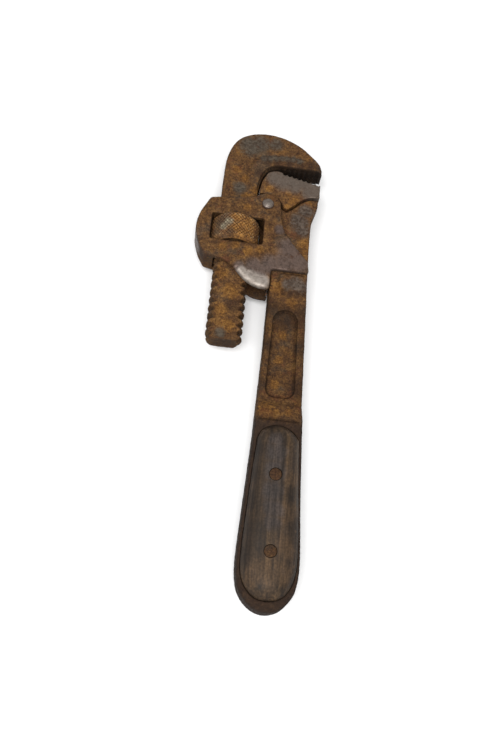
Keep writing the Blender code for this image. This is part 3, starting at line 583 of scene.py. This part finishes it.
heel = plate("toothed_heel", outline([
    (-4.7, 7.3, 0.4), (-4.55, 10.0), (-4.2, 12.5), (-3.55, 15.2), (-2.4, 17.6, "smooth"),
    (-0.6, 20.4, "smooth"), (3.6, 21.7, "smooth"),
    *teeth((6.0, 21.2), (25.6, 16.9), 8, 1.0), (25.9, 16.8), (26.0, 8.6, 0.4),
    (20.6, 8.0, "smooth"), (16.6, 5.7, "smooth"), (12.7, 1.9, "smooth"), (9.7, -0.5, 0.6),
    (7.8, 0.9), *arc(7.4, 23, 87, 4),
]), -6.0, 6.0)
soften(heel, 0.6, 3, 60, lambda x, y, z: abs(z) > 5.5 and not (y > 15.5 and x > 5.2))
carve(heel, block((-6.0, 0.0, -4.3), (-2.2, 18.0, 4.3)))
carve(heel, block((-3.0, 8.8, -3.7), (0.7, 13.5, 5.2)))
tongue = block((9.0, -9.0, -2.2), (19.0, 12.0, 2.2), "tongue")
carve(tongue, rod(HEEL_PIN_SPOT, HEEL_PIN_R + GAP, -10, 10))
gather(heel, tongue)
weather(heel, 0.26, 3, 0.12, 0.07)
finish(heel, rusted_steel(
    "worn heel jaw steel", seed=1.1, relief=0.4, edge=0.5, grey=(104, 92, 82), sheen=0.5,
    cover=(0.7, 0.95), ragged=0.65,
    bare_and_highlight=[(2.5, 17.5, 6, 5), (7, 17, 6, 7), (22, 12.5, 6, 7), (13, 15, 6, 6), (17, 17, 6, 6)],
    ochre=[(13, 4.5, 6, 3.5), (10.0, 1.0, 6, 2.5), (0.5, 10.5, 6, 2.5), (10, 9, 6, 2)],
), "handle", "heel_jaw")

# ---------------------------------------------------------------- heel jaw pin
# A short steel pin goes through the head and the heel jaw's tongue. It was peened over
# and filed flush, so that rust hides its ends.

heel_pin = rod(HEEL_PIN_SPOT, HEEL_PIN_R, -4.0, 4.0, 40)
heel_pin.name = "heel_cross_pin"
soften(heel_pin, 0.25, 3, 60)
weather(heel_pin, 0.14, 2, 0.03, 0.05)
finish(heel_pin, rusted_steel("pin end steel", seed=2.0, relief=0.5, edge=0.8),
       "handle", "heel_jaw_pin")

# ---------------------------------------------------------------- frame spring
# A leaf of spring steel is riveted to the bar's inner edge. It bows out under the frame
# towards the shank, so that the hook jaw falls back onto a pipe.


def strip(line, half_width):
    """A closed outline round an open line, for a bent leaf."""
    left, right = [], []
    for i, spot in enumerate(line):
        along = (Vector(line[min(len(line) - 1, i + 1)]) - Vector(line[max(0, i - 1)])).normalized()
        normal = Vector((-along.y, along.x)) * half_width
        left.append(tuple(Vector(spot) + normal))
        right.append(tuple(Vector(spot) - normal))
    return left + right[::-1]


leaf = plate("frame_leaf", strip([
    (3.85, -46.2), (3.85, -43.5), (3.85, -40.4), (3.25, -38.6), (0.8, -36.8), (-2.1, -35.4),
    (-3.6, -33.6), (-4.0, -31.4), (-3.5, -29.0), (-1.9, -26.8), (-0.4, -25.4),
], 0.35), -3.4, 3.4)
hole = rod((0, 0), 1.5, -3, 3)
hole.rotation_euler = (0, math.radians(90), 0)
hole.location = at(4.0, -42.5) - Matrix.Rotation(math.radians(90), 3, "Y") @ at(0, 0)
carve(leaf, settle(hole))
soften(leaf, 0.12, 2, 50)
weld(leaf, 0)


def spring_steel(name, seed):
    """Dark blued strip with light rust and long draw marks."""
    made, tree, shader, place = fresh_material(name)
    spot = node(tree, "Mapping", {"Vector": place, "Location": (seed, 0, seed)})
    mottle = noise(tree, spot, 420, 7, 0.7)
    drawn = node(tree, "Mapping", {"Vector": place, "Scale": (300, 300, 4000)})
    marks = noise(tree, drawn, 1.0, 3, 0.5)
    blued = ramp(tree, marks, (0.3, rgb(44, 37, 34)), (0.7, rgb(66, 54, 47)))
    rusty = ramp(tree, mottle, (0.4, rgb(66, 42, 30)), (0.65, rgb(112, 74, 44)))
    share = between(tree, mottle, 0.47, 0.58)
    tree.links.new(blend(tree, share, blued, rusty), shader.inputs["Base Color"])
    tree.links.new(between(tree, share, 0, 1, 0.8, 0.1), shader.inputs["Metallic"])
    tree.links.new(between(tree, share, 0, 1, 0.38, 0.8), shader.inputs["Roughness"])
    bump = node(tree, "Bump", {"Height": maths(tree, "ADD", marks, mottle),
                               "Distance": 0.00006, "Strength": 0.6})
    tree.links.new(bump, shader.inputs["Normal"])
    return made


finish(leaf, spring_steel("frame spring steel", 0.4), "handle", "frame_spring")

# ----------------------------------------------------------- frame spring rivet
# A small steel rivet holds the frame spring's foot to the bar. It is driven sideways into
# the bar's inner edge, and has a low round head.


def turned(name, profile, steps=64):
    """A piece turned about Z, from (radius, height) points in millimetres."""
    mesh = bpy.data.meshes.new(name)
    mesh.from_pydata([(r * MM, 0, z * MM) for r, z in profile],
                     [(i, i + 1) for i in range(len(profile) - 1)], [])
    made = bpy.data.objects.new(name, mesh)
    bpy.context.collection.objects.link(made)
    pick(made)
    bpy.ops.object.mode_set(mode="EDIT")
    bpy.ops.mesh.select_all(action="SELECT")
    bpy.ops.mesh.spin(steps=steps, angle=math.tau, center=(0, 0, 0), axis=(0, 0, 1))
    bpy.ops.object.mode_set(mode="OBJECT")
    weld(made, 0)
    return made


leaf_rivet = turned("frame_leaf_rivet", [
    (0, 9.5), (1.0, 9.5), (1.2, 9.3), (1.2, 1.2), (2.2, 1.2), (2.3, 1.05), (2.25, 0.75),
    (2.0, 0.4), (1.5, 0.15), (0.8, 0.02), (0, 0),
], 40)
leaf_rivet.rotation_euler = (0, math.radians(90), 0)
leaf_rivet.location = at(2.0, -42.5)
settle(leaf_rivet)
pick(leaf_rivet)
bpy.ops.object.shade_smooth_by_angle(angle=math.radians(40))
finish(leaf_rivet, rusted_steel("spring rivet steel", seed=2.7, relief=0.4), "handle",
       "frame_spring_rivet")

# ------------------------------------------------------------------ jaw spring
# A folded leaf sits with its foot in the heel jaw's notch. Its blade presses on the hook
# jaw's stem, so that the jaw doesn't rattle.

blade = plate("jaw_leaf", [
    (0.4, 9.1), (0.4, 13.2), (-2.7, 13.2), (-3.0, 15.0), (-2.85, 16.4), (-3.25, 16.5),
    (-3.6, 15.0), (-3.4, 12.6), (-3.3, 9.1),
], -3.4, 3.4)
soften(blade, 0.12, 2, 50)
weld(blade, 0)
finish(blade, spring_steel("jaw spring steel", 1.3), "handle", "jaw_spring")

# -------------------------------------------------------------------- hook jaw
# The moving jaw is one forging: a hooked head with eight teeth and a raised rim round
# the throat, on a stem whose lower part is a flat-sided screw. Rust fills the thread,
# and the rim and the upper left of the hook are rubbed bare. The rim's top also has a
# painted highlight, with painted shadow inside it, and the teeth faces get painted shadow.

SHANK_X = -14.55
STEM_LEFT_X = -23.55
THREAD_CREST_R = 8.85
THREAD_ROOT_R = 7.2
THREAD_PITCH = 4.3
SHANK_END_Y = -75.0
SHANK_LENGTH = 69.0
HOLLOW_R = 3.0          # hollows that the thread leaves across the flats
HOLLOW_DEPTH = 0.18


def along_shank(piece, y):
    """Turns a piece made about Z onto the shank's axis, with its up end towards the jaws."""
    piece.rotation_euler = (math.radians(-90), 0, 0)
    piece.location = at(SHANK_X, y)
    return settle(piece)


def coil(name, profile, start, turns):
    """A helical bar about Z: a closed (radius, height) section swept up by the thread's pitch."""
    mesh = bpy.data.meshes.new(name)
    mesh.from_pydata([(r * MM, 0, (start + z) * MM) for r, z in profile],
                     [(i, (i + 1) % len(profile)) for i in range(len(profile))], [])
    made = bpy.data.objects.new(name, mesh)
    bpy.context.collection.objects.link(made)
    apply(made, "SCREW", steps=48, render_steps=48, iterations=turns,
          screw_offset=THREAD_PITCH * MM)
    pick(made)
    bpy.ops.object.mode_set(mode="EDIT")
    bpy.ops.mesh.select_all(action="SELECT")
    bpy.ops.mesh.remove_doubles(threshold=1e-6)
    bpy.ops.mesh.fill_holes(sides=0)
    bpy.ops.mesh.select_all(action="SELECT")
    bpy.ops.mesh.normals_make_consistent(inside=False)
    bpy.ops.object.mode_set(mode="OBJECT")
    return made


hook = plate("forged_hook", outline([
    (-23.55, -7.0), (-23.55, 14.0), (-22.9, 27.0, "smooth"), (-20.6, 35.2, "smooth"),
    (-17.4, 40.0, "smooth"), (-12.5, 43.2, "smooth"), (-5.8, 44.9, "smooth"),
    (1.2, 44.8, "smooth"), (7.9, 43.1, "smooth"), (14.9, 39.7, "smooth"), (20.4, 35.2, "smooth"),
    (25.1, 30.4, "smooth"), (26.5, 26.6, 0.8), (26.2, 23.7, 0.6),
    *teeth((25.4, 23.6), (5.6, 23.5), 8, 1.35), (2.6, 23.5, "smooth"), (-0.6, 22.4, "smooth"),
    (-3.2, 18.8, "smooth"), (-4.9, 12.0, "smooth"), (-5.55, 6.0), (-5.55, -7.0),
]), -STOCK_HALF, STOCK_HALF)
soften(hook, 1.9, 5, 60, lambda x, y, z: abs(z) > 4.9 and (y > 26.7 or x < -22) and y > -6.5)
rim = plate("rim", outline([
    (-11.6, 14.5, "smooth"), (-10.8, 20.4, "smooth"), (-8.4, 26.2, "smooth"),
    (-3.6, 29.8, "smooth"), (4.6, 31.0, "smooth"), (15.8, 30.8, "smooth"), (22.6, 29.2),
    (25.4, 24.6, 0.5), (5.6, 24.9), (2.2, 24.4, "smooth"), (-1.7, 22.6, "smooth"),
    (-4.2, 18.8, "smooth"), (-5.9, 12.0, "smooth"), (-6.2, 9.2),
]), -6.0, 6.0)
soften(rim, 0.9, 4, 50, lambda x, y, z: abs(z) > 5.9)
shank = turned("shank", [
    (0, SHANK_LENGTH), (THREAD_CREST_R, SHANK_LENGTH), (THREAD_CREST_R, 1.6),
    (THREAD_CREST_R - 0.7, 0.6), (THREAD_CREST_R - 1.9, 0), (0, 0),
], 90)
shank.rotation_euler = (0, 0, math.radians(3.1))
settle(shank)
along_shank(shank, SHANK_END_Y)
flats = block((-40, SHANK_END_Y - 5, -STOCK_HALF), (0, 0.5, STOCK_HALF), "flats")
for side in (1, -1):
    for turn in range(11):
        y = SHANK_END_Y + 4.4 + turn * THREAD_PITCH + (0 if side > 0 else THREAD_PITCH / 2)
        band = rod((0, 0), HOLLOW_R, -25, 25, 47)
        band.location = -at(0, 0)
        settle(band)
        band.rotation_euler = (0, math.radians(90), 0)
        band.location = at(SHANK_X, y, side * (STOCK_HALF + HOLLOW_R - HOLLOW_DEPTH))
        carve(flats, settle(band))
carve(shank, flats, "INTERSECT")
groove = coil("groove", [
    (THREAD_ROOT_R, -0.55), (THREAD_ROOT_R + 0.5, -0.95), (9.7, -1.75), (9.7, 1.75),
    (THREAD_ROOT_R + 0.5, 0.95), (THREAD_ROOT_R, 0.55),
], -THREAD_PITCH, 18)
carve(shank, along_shank(groove, SHANK_END_Y))
gather(hook, rim, shank)
weather(hook, 0.4)
finish(hook, rusted_steel(
    "rusty hook jaw steel", seed=4.2, grey=(92, 83, 71),
    # The row of bare spots along the rim's top is worn steel that also serves as a painted
    # highlight.
    bare_and_highlight=[(-12.0, 35.0, 5, 6), (-6.0, 38.0, 5, 5), (-14.9, 9.3, 5, 3.4), (-4.0, 28.4, 6, 2.4),
          (-1.0, 29.2, 6, 2.5), (2.0, 29.7, 6, 2.6), (5.0, 30.0, 6, 2.6), (8.0, 30.1, 6, 2.6),
          (11.0, 30.1, 6, 2.5), (14.0, 29.9, 6, 2.4), (1.5, 38.5, 5, 4), (-16.3, -72.1, 5, 3.0)],
    ochre=[(-16.2, 32.0, 5, 3.0), (-6.6, 8.7, 5, 2.6), (-13.6, -68.0, 5, 4.5),
           (-19.6, -40.5, 5, 4), (-13.8, -50, 5, 5), (-17.5, -60, 5, 4), (-17, 20, 5, 2.5),
           (20, 34, 3, 3), (-11, 4, 5, 3), (-13, 15, 5, 2.5)],
    # The spots along the rim's inside and the throat are painted shadow under the rim; the others
    # darken the shank and the hook's tip.
    dark_rust_and_shade=[(-2.0, 26.0, 6, 2.5), (3, 26.8, 6, 2.5), (9, 26.8, 6, 2.5), (15, 26.8, 6, 2.5),
          (20, 27, 6, 3), (-5.5, 19, 6, 3), (-12, -57, 5, 4), (-14.5, -76, 0, 6),
          (-22, -62, 2, 4), (25, 26, 4, 3)],
    # Painted shadow: the teeth faces that look down the gap towards the grip go nearly black.
    under=[(4, 23, 0, 9), (11, 23, 0, 9), (18, 23, 0, 9), (25, 23, 0, 9)],
), "hook_jaw", "hook_jaw")

# --------------------------------------------------------------- adjusting nut
# A turned steel nut runs on the shank's screw inside the frame's window. Its rim has
# a diamond knurl for the thumb, full of yellow rust, between two chamfered ends.

NUT_R = 11.9
NUT_LENGTH = 14.2
NUT_END = NUT_LENGTH / 2
NUT_Y = -16.0
BORE_R = THREAD_CREST_R + GAP
KNURL_STEP = 6          # cells of the fine grid from one groove to the next
KNURL_SINK = 0.91       # share of the radius left at a groove's bottom
columns = 240
rows = 49
bpy.ops.object.select_all(action="DESELECT")
bpy.ops.mesh.primitive_circle_add(vertices=columns, radius=(NUT_R + 0.1) * MM,
                                  fill_type="NOTHING",
                                  location=(0, 0, -(NUT_END + 0.5) * MM))
nut = bpy.context.object
nut.name = "knurled_nut"
settle(nut)
rise = (NUT_LENGTH + 1.0) / rows * MM
bpy.ops.object.mode_set(mode="EDIT")
bpy.ops.mesh.select_all(action="SELECT")
for row in range(rows):
    bpy.ops.mesh.extrude_region_move(TRANSFORM_OT_translate={"value": (0, 0, rise)})
bpy.ops.mesh.select_all(action="DESELECT")
bpy.ops.object.mode_set(mode="OBJECT")
bpy.context.tool_settings.mesh_select_mode = (True, False, False)
for v in nut.data.vertices:
    column = round(math.atan2(v.co.y, v.co.x) / math.tau * columns)
    row = round((v.co.z / MM + NUT_END + 0.5) * MM / rise)
    v.select = (column + row) % KNURL_STEP == 0 or (column - row) % KNURL_STEP == 0
bpy.ops.object.mode_set(mode="EDIT")
bpy.ops.transform.resize(value=(KNURL_SINK, KNURL_SINK, 1), center_override=(0, 0, 0))
bpy.ops.mesh.select_all(action="SELECT")
bpy.ops.mesh.quads_convert_to_tris(quad_method="SHORTEST_DIAGONAL")
bpy.ops.mesh.fill_holes(sides=0)
bpy.ops.mesh.select_all(action="SELECT")
bpy.ops.mesh.normals_make_consistent(inside=False)
bpy.ops.object.mode_set(mode="OBJECT")
chamfers = turned("chamfers", [
    (0, NUT_END), (NUT_R - 1.9, NUT_END), (NUT_R - 0.75, 6.5), (NUT_R + 0.1, 5.4),
    (NUT_R + 0.1, -5.4), (NUT_R - 0.75, -6.5), (NUT_R - 1.9, -NUT_END), (0, -NUT_END),
], 78)
carve(nut, chamfers, "INTERSECT")
carve(nut, turned("bore", [(0, 9), (BORE_R, 9), (BORE_R, -9), (0, -9)], 90))
ridge = coil("nut_ridge", [(7.6, -0.44), (9.65, -1.0), (9.65, 1.0), (7.6, 0.44)],
             SHANK_END_Y + 12 * THREAD_PITCH - NUT_Y, 5)
carve(ridge, turned("ridge_trim", [(0, 6.3), (11, 6.3), (11, -6.3), (0, -6.3)], 50), "INTERSECT")
gather(nut, ridge)
along_shank(nut, NUT_Y)
weather(nut, 0.2, 1, 0.08, 0.05)
finish(nut, rusted_steel(
    "knurled nut steel", seed=5.4, relief=0.4, ochre_share=0.9, edge=0.9, grey=(140, 130, 108),
    # Painted shade in the knurl's grooves and a painted highlight on its crests; the side shade is
    # turned off.
    bright=1.3, crease_shade=(0.45, 0.53), sides=1.0,
    bare_and_highlight=[(-18.4, -15.0, 11.5, 2.5), (-20.5, -17.5, 10, 2.0)],
    ochre=[(-10.5, -17.0, 11.5, 8), (-14, -13, 11.8, 5), (-12, -20, 11.8, 4)],
    # Painted shade on the nut's left side, beside the window's wall, and a darker spot near its
    # lower end.
    dark_rust_and_shade=[(-22, -14, 10, 4), (-17, -21, 11, 2.5)],
), "adjusting_nut", "adjusting_nut")

# ----------------------------------------------------------------------- frame
# The frame is a forged steel housing: two plates joined by a closed side, with a window
# through both for the nut. It rocks on the pin. Its lower lobe is rubbed bright, with a
# painted highlight along its lower edge, its lower right is smooth grey, and the rest is
# brown rust. Painted shade darkens the bottom of the closed side and the back plate's lobe.

PLATE_OUT = 7.7
SLOT_HALF = 5.3
WINDOW_LOW_Y = NUT_Y - NUT_END - GAP
WINDOW_TOP_Y = NUT_Y + NUT_END + GAP
housing = plate("frame_housing", outline([
    (-33.0, -9.6, "smooth"), (-28.6, 0.3, 2.5), (-6.2, 4.2), *arc(6.8, 118, 0, 9),
    (7.6, -6.5, "smooth"), (9.9, -14.6, "smooth"), (22.4, -30.2, 2.0), (23.0, -36.1, 1.2),
    (4.7, -36.1, 1.2), (4.4, -47.1, 1.2), (-2.2, -46.4, "smooth"), (-8.0, -43.4, "smooth"),
    (-12.2, -39.2, "smooth"), (-17.0, -35.2, "smooth"), (-22.0, -33.4, "smooth"),
    (-28.6, -32.0, 2.0), (-31.8, -26.0, "smooth"), (-34.1, -18.0, "smooth"),
]), -PLATE_OUT, PLATE_OUT)
soften(housing, 1.15, 4, 30)
carve(housing, block((STEM_LEFT_X - GAP, -60, -SLOT_HALF), (40, 20, SLOT_HALF)))
front_window = block((-26.85, WINDOW_LOW_Y, 0), (-0.8, WINDOW_TOP_Y, 14), "front_window")
soften(front_window, 0.9, 3, 60, lambda x, y, z: x < -20 and 0.5 < z < 13)
carve(housing, front_window)
carve(housing, block((-26.2, WINDOW_LOW_Y, -14), (-1.9, WINDOW_TOP_Y, 0.3)))
carve(housing, rod((0, 0), PIN_R + GAP, -14, 14, 48))
weather(housing, 0.42, 3, 0.18, 0.1)
rub(housing, 40, lambda x, y, z: y < -37.0 and x < 3.6 and abs(z) > 6.0)
finish(housing, rusted_steel(
    "rusty frame steel", seed=6.7, ochre_share=0.3,
    bare_and_highlight=[(-1.5, -38, 7.7, 5), (17.5, -31.0, 7.7, 6), (12.5, -24.0, 7.7, 6.5),
          (-4, -35.5, 7.7, 4.5), (11, -32.5, 7.7, 7), (4, -34, 7.7, 6), (-11, -37, 7.7, 3),
          (7, -14, 7.7, 3), (-33.6, -22, 0, 7), (-33.6, -15, 0, 6)],
    # Silver: the rubbed lobe, its colour raised into a painted highlight along the lower edge.
    silver=[(-5.8, -42.0, 7.4, 4.2), (0.3, -43.8, 7.4, 4.2), (-9.6, -39.6, 7.4, 3.0),
            (-2.5, -43.0, 7.2, 4.2)],
    ochre=[(-7.6, -28.2, 7.7, 3), (8.0, -25.5, 7.7, 2), (-20, -27.5, 7.7, 3),
           (-10, -3.5, 7.7, 2.5), (-2, -27, 7.7, 2.5), (-14, -25.5, 7.7, 3)],
    # Dark: painted shade on the bottom of the closed side and inside the back plate's lobe.
    dark_rust_and_shade=[(-31, -30, 2, 5), (0, -46, -6.5, 7)], grey=(100, 83, 75), sheen=0.42,
    cover=(0.62, 0.92), ragged=0.6,
), "frame", "frame")

# ------------------------------------------------------------------- frame pin
# A steel pin with a domed head on both sides. Its heads are rubbed bright and scratched,
# and stand in a dark ring of rust.

pin = turned("domed_pin", [
    (0, 9.3), (0.75, 9.27), (1.45, 9.13), (2.1, 8.88), (2.6, 8.55), (2.87, 8.2), (2.95, 7.95),
    (2.7, 7.78), (PIN_R, PLATE_OUT), (PIN_R, -PLATE_OUT), (2.7, -7.78), (2.95, -7.95), (2.87, -8.2),
    (2.6, -8.55), (2.1, -8.88), (1.45, -9.13), (0.75, -9.27), (0, -9.3),
], 64)
pin.location = at(0, 0)
settle(pin)
roughen(pin, "hammer marks", 1.4, 0.1)
pick(pin)
bpy.ops.object.shade_smooth()
pin_steel, tree, shader, place = fresh_material("bright pin steel")
away = node(tree, "VectorMath", {0: node(tree, "VectorMath", {0: place, 1: (1, 1, 0)},
                                         operation="MULTIPLY"),
                                 1: (PIN_X * MM, PIN_Y * MM, 0)}, out="Value",
            operation="DISTANCE")
rusty_rim = between(tree, away, 2.4 * MM, 2.85 * MM)
scratch = node(tree, "Mapping", {"Vector": place, "Rotation": (0, 0, 0.7),
                                 "Scale": (600, 6500, 600)})
scratches = noise(tree, scratch, 1.0, 3, 0.6)
mottle = noise(tree, place, 900, 5, 0.6)
silver = ramp(tree, scratches, (0.35, rgb(74, 66, 61)), (0.5, rgb(112, 102, 94)),
              (0.7, rgb(140, 129, 120)))
share = maths(tree, "MAXIMUM", rusty_rim, between(tree, mottle, 0.56, 0.66))
tree.links.new(blend(tree, share, silver, rgb(62, 42, 32)), shader.inputs["Base Color"])
tree.links.new(between(tree, share, 0, 1, 0.6, 0.0), shader.inputs["Metallic"])
tree.links.new(between(tree, share, 0, 1, 0.38, 0.85), shader.inputs["Roughness"])
tree.links.new(node(tree, "Bump", {"Height": maths(tree, "ADD", scratches, mottle),
                                   "Distance": 0.00012, "Strength": 0.7}),
               shader.inputs["Normal"])
finish(pin, pin_steel, "handle", "frame_pin")

# ----------------------------------------------------------------- grip scales
# Two scales of close-grained hardwood, shaped by hand to a low crown, lie in the grip's
# beds. Years of oil have turned them dark. A blue-grey streak down the crown is a painted
# reflection, and darker patches down the sides are painted shade.


def crowned_scale(name, side):
    """A wooden scale with a domed face, on one side of the web."""
    low, high = sorted((side * (CORE_HALF + GAP), side * WOOD_EDGE_Z))
    wood = plate(name, wood_path, low, high)
    crown(wood, wood_path, side, ((0.25, 0.2), (0.7, 0.85), (1.4, 1.7), (2.3, 2.5), (3.4, 3.25),
                                  (4.7, 3.9), (6.2, 4.4), (7.6, 4.68), (9.2, 4.8)))
    apply(wood, "REMESH", mode="VOXEL", voxel_size=0.4 * MM, use_smooth_shade=True)
    apply(wood, "SMOOTH", factor=0.5, iterations=3)
    for x, y in RIVETS.values():
        hole = turned("rivet_hole", [(0, 16), (2.9, 16), (2.9, 9.8), (1.9, 9.8), (1.9, -3),
                                     (0, -3)], 61)
        if side < 0:
            hole.rotation_euler = (math.radians(180), 0, 0)
        hole.location = at(x, y)
        carve(wood, settle(hole))
    roughen(wood, "hand shaping", 9.0, 0.25)
    pick(wood)
    bpy.ops.object.shade_smooth_by_angle(angle=math.radians(50))
    return wood


def old_wood(name, seed):
    """Oiled, darkened hardwood with long fine grain and paler places, a painted blue-grey
    reflection down the crown, painted shade down the sides and painted highlights on the edges.
    """
    made, tree, shader, place = fresh_material(name)
    spot = node(tree, "Mapping", {"Vector": place, "Location": (seed, seed, seed)})
    long_way = node(tree, "Mapping", {"Vector": spot, "Scale": (1100, 34, 1100)})
    grain = noise(tree, long_way, 1.0, 6, 0.65)
    wide = node(tree, "Mapping", {"Vector": spot, "Scale": (260, 9, 260)})
    streak = noise(tree, wide, 1.0, 4, 0.55)
    drawn = node(tree, "Mapping", {"Vector": spot, "Scale": (210, 60, 210)})
    cloud = noise(tree, drawn, 1.0, 8, 0.68)
    speck = noise(tree, spot, 1100, 4, 0.6)
    colour = ramp(tree, streak, (0.3, rgb(35, 26, 19)), (0.46, rgb(48, 37, 27)),
                  (0.6, rgb(60, 46, 32)), (0.76, rgb(76, 58, 39)))
    pale = patches(tree, place, [(10.0, -158, 9, 5), (19.5, -155, 10, 5), (15, -181, 11, 8),
                                 (20, -170, 10, 5), (22, -140, 9, 4), (9, -183, 9, 5),
                                 (21, -182, 9, 5), (23, -152, 8, 4)], cloud)
    colour = blend(tree, maths(tree, "MULTIPLY", pale, 0.5), colour, rgb(76, 57, 38))
    # Painted reflection: a blue-grey streak down the crown, where the overhead light would shine.
    painted_reflection = patches(tree, place, [(14.3, -129, 11, 5), (14.3, -137, 11, 5), (14.2, -146, 11, 5),
                                 (14.2, -154, 11, 4.5), (14, -160, 11, 4), (14, -122, 11, 4)],
                   cloud)
    colour = blend(tree, maths(tree, "MULTIPLY", painted_reflection, 0.75), colour, rgb(52, 46, 44))
    # Painted shade: darker patches down the grip's sides, where the crown falls away from the
    # light.
    painted_dark_shade = patches(tree, place, [(4, -150, 9, 5), (3, -162, 8, 6), (3.5, -138, 8, 5),
                                  (26, -160, 7, 4), (2.5, -174, 8, 5), (6, -128, 8, 4)], cloud)
    colour = blend(tree, maths(tree, "MULTIPLY", painted_dark_shade, 0.6), colour, rgb(30, 23, 18))
    colour = blend(tree, 1.0, colour, between(tree, cloud, 0.34, 0.66, 0.72, 1.3), "MULTIPLY")
    colour = blend(tree, 1.0, colour, between(tree, grain, 0.34, 0.66, 0.64, 1.3), "MULTIPLY")
    colour = blend(tree, 1.0, colour, between(tree, speck, 0.34, 0.66, 0.74, 1.2), "MULTIPLY")
    # Paler edges, from the pointiness: a painted edge highlight along the crown's rim.
    edge_wear_and_highlight = node(tree, "NewGeometry", {}, out="Pointiness")
    edge_wear_and_highlight = maths(tree, "MULTIPLY", between(tree, edge_wear_and_highlight, 0.51, 0.56), between(tree, cloud, 0.4, 0.6))
    colour = blend(tree, maths(tree, "MULTIPLY", edge_wear_and_highlight, 0.6), colour, rgb(78, 60, 42))
    tree.links.new(colour, shader.inputs["Base Color"])
    tree.links.new(between(tree, cloud, 0.3, 0.7, 0.5, 0.7), shader.inputs["Roughness"])
    shader.inputs["Specular IOR Level"].default_value = 0.22
    height = maths(tree, "ADD", grain, maths(tree, "MULTIPLY", speck, 0.5))
    tree.links.new(node(tree, "Bump", {"Height": height, "Distance": 0.00012, "Strength": 0.7}),
                   shader.inputs["Normal"])
    return made


front_wood = crowned_scale("front_scale", 1)
finish(front_wood, old_wood("front scale wood", 0.0), "handle", "grip_scale_front")
back_wood = crowned_scale("back_scale", -1)
finish(back_wood, old_wood("back scale wood", 3.1), "handle", "grip_scale_back")

# ----------------------------------------------------------------- grip rivets
# Two steel rivets go through both scales and the web. Their round heads are sunk, filed
# flush with the wood, and dark with red-brown rust.

upper_rivet = turned("upper_grip_rivet", [
    (0, 11.6), (1.6, 11.58), (2.35, 11.5), (2.62, 11.38), (2.7, 11.2), (2.7, 10.1),
    (RIVET_R, 10.1), (RIVET_R, -10.1), (2.7, -10.1), (2.7, -11.2), (2.62, -11.38),
    (2.35, -11.5), (1.6, -11.58), (0, -11.6),
], 72)
lower_rivet = upper_rivet.copy()
lower_rivet.data = upper_rivet.data.copy()
lower_rivet.name = "lower_grip_rivet"
bpy.context.collection.objects.link(lower_rivet)
for which, rivet, seed in (("upper", upper_rivet, 7.0), ("lower", lower_rivet, 7.9)):
    rivet.location = at(*RIVETS[which])
    settle(rivet)
    pick(rivet)
    bpy.ops.object.shade_smooth_by_angle(angle=math.radians(40))
    finish(rivet, rusted_steel(f"{which} rivet steel", seed=seed, relief=0.4, ochre_share=0.0,
                               edge=0.2, bright=0.8, dark_rust_and_shade=[(*RIVETS[which], 11.5, 8)]),
           "handle", f"grip_rivet_{which}")

# --------------------------------------------------------- floor, light, camera
# The wrench lies on a pale matt tabletop. One wide soft light hangs above it in a pale
# room, and the camera looks down from above the grip.

bpy.ops.object.select_all(action="DESELECT")
bpy.ops.mesh.primitive_plane_add(size=6, location=(0, 0, -0.0002))
floor = bpy.context.object
floor.name = "tabletop"
card = bpy.data.materials.new("white card")
card.use_nodes = True
shader = card.node_tree.nodes["Principled BSDF"]
shader.inputs["Base Color"].default_value = rgb(247, 247, 247)
shader.inputs["Roughness"].default_value = 0.9
floor.data.materials.append(card)
floor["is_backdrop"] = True

room = bpy.data.worlds.new("pale room")
bpy.context.scene.world = room
room.use_nodes = True
room.node_tree.nodes["Background"].inputs[0].default_value = (1, 1, 1, 1)
room.node_tree.nodes["Background"].inputs[1].default_value = 0.55

bpy.ops.object.light_add(type="AREA", location=(-0.12, -0.35, 0.85))
softbox = bpy.context.object
softbox.data.shape = "RECTANGLE"
softbox.data.size = 0.9
softbox.data.size_y = 0.7
softbox.data.energy = 11
softbox.rotation_euler = (at(-5, -60) - softbox.location).to_track_quat("-Z", "Y").to_euler()

bpy.ops.object.camera_add(location=(-0.02164, -0.16348, 0.3777))
camera = bpy.context.object
camera.data.lens = 41.58
camera.data.sensor_width = 36
camera.data.clip_start = 0.01
camera.rotation_euler = (math.radians(22.30), math.radians(-5.885), math.radians(5.158))
bpy.context.scene.camera = camera
bpy.context.scene.view_settings.view_transform = "Standard"

low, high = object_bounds()
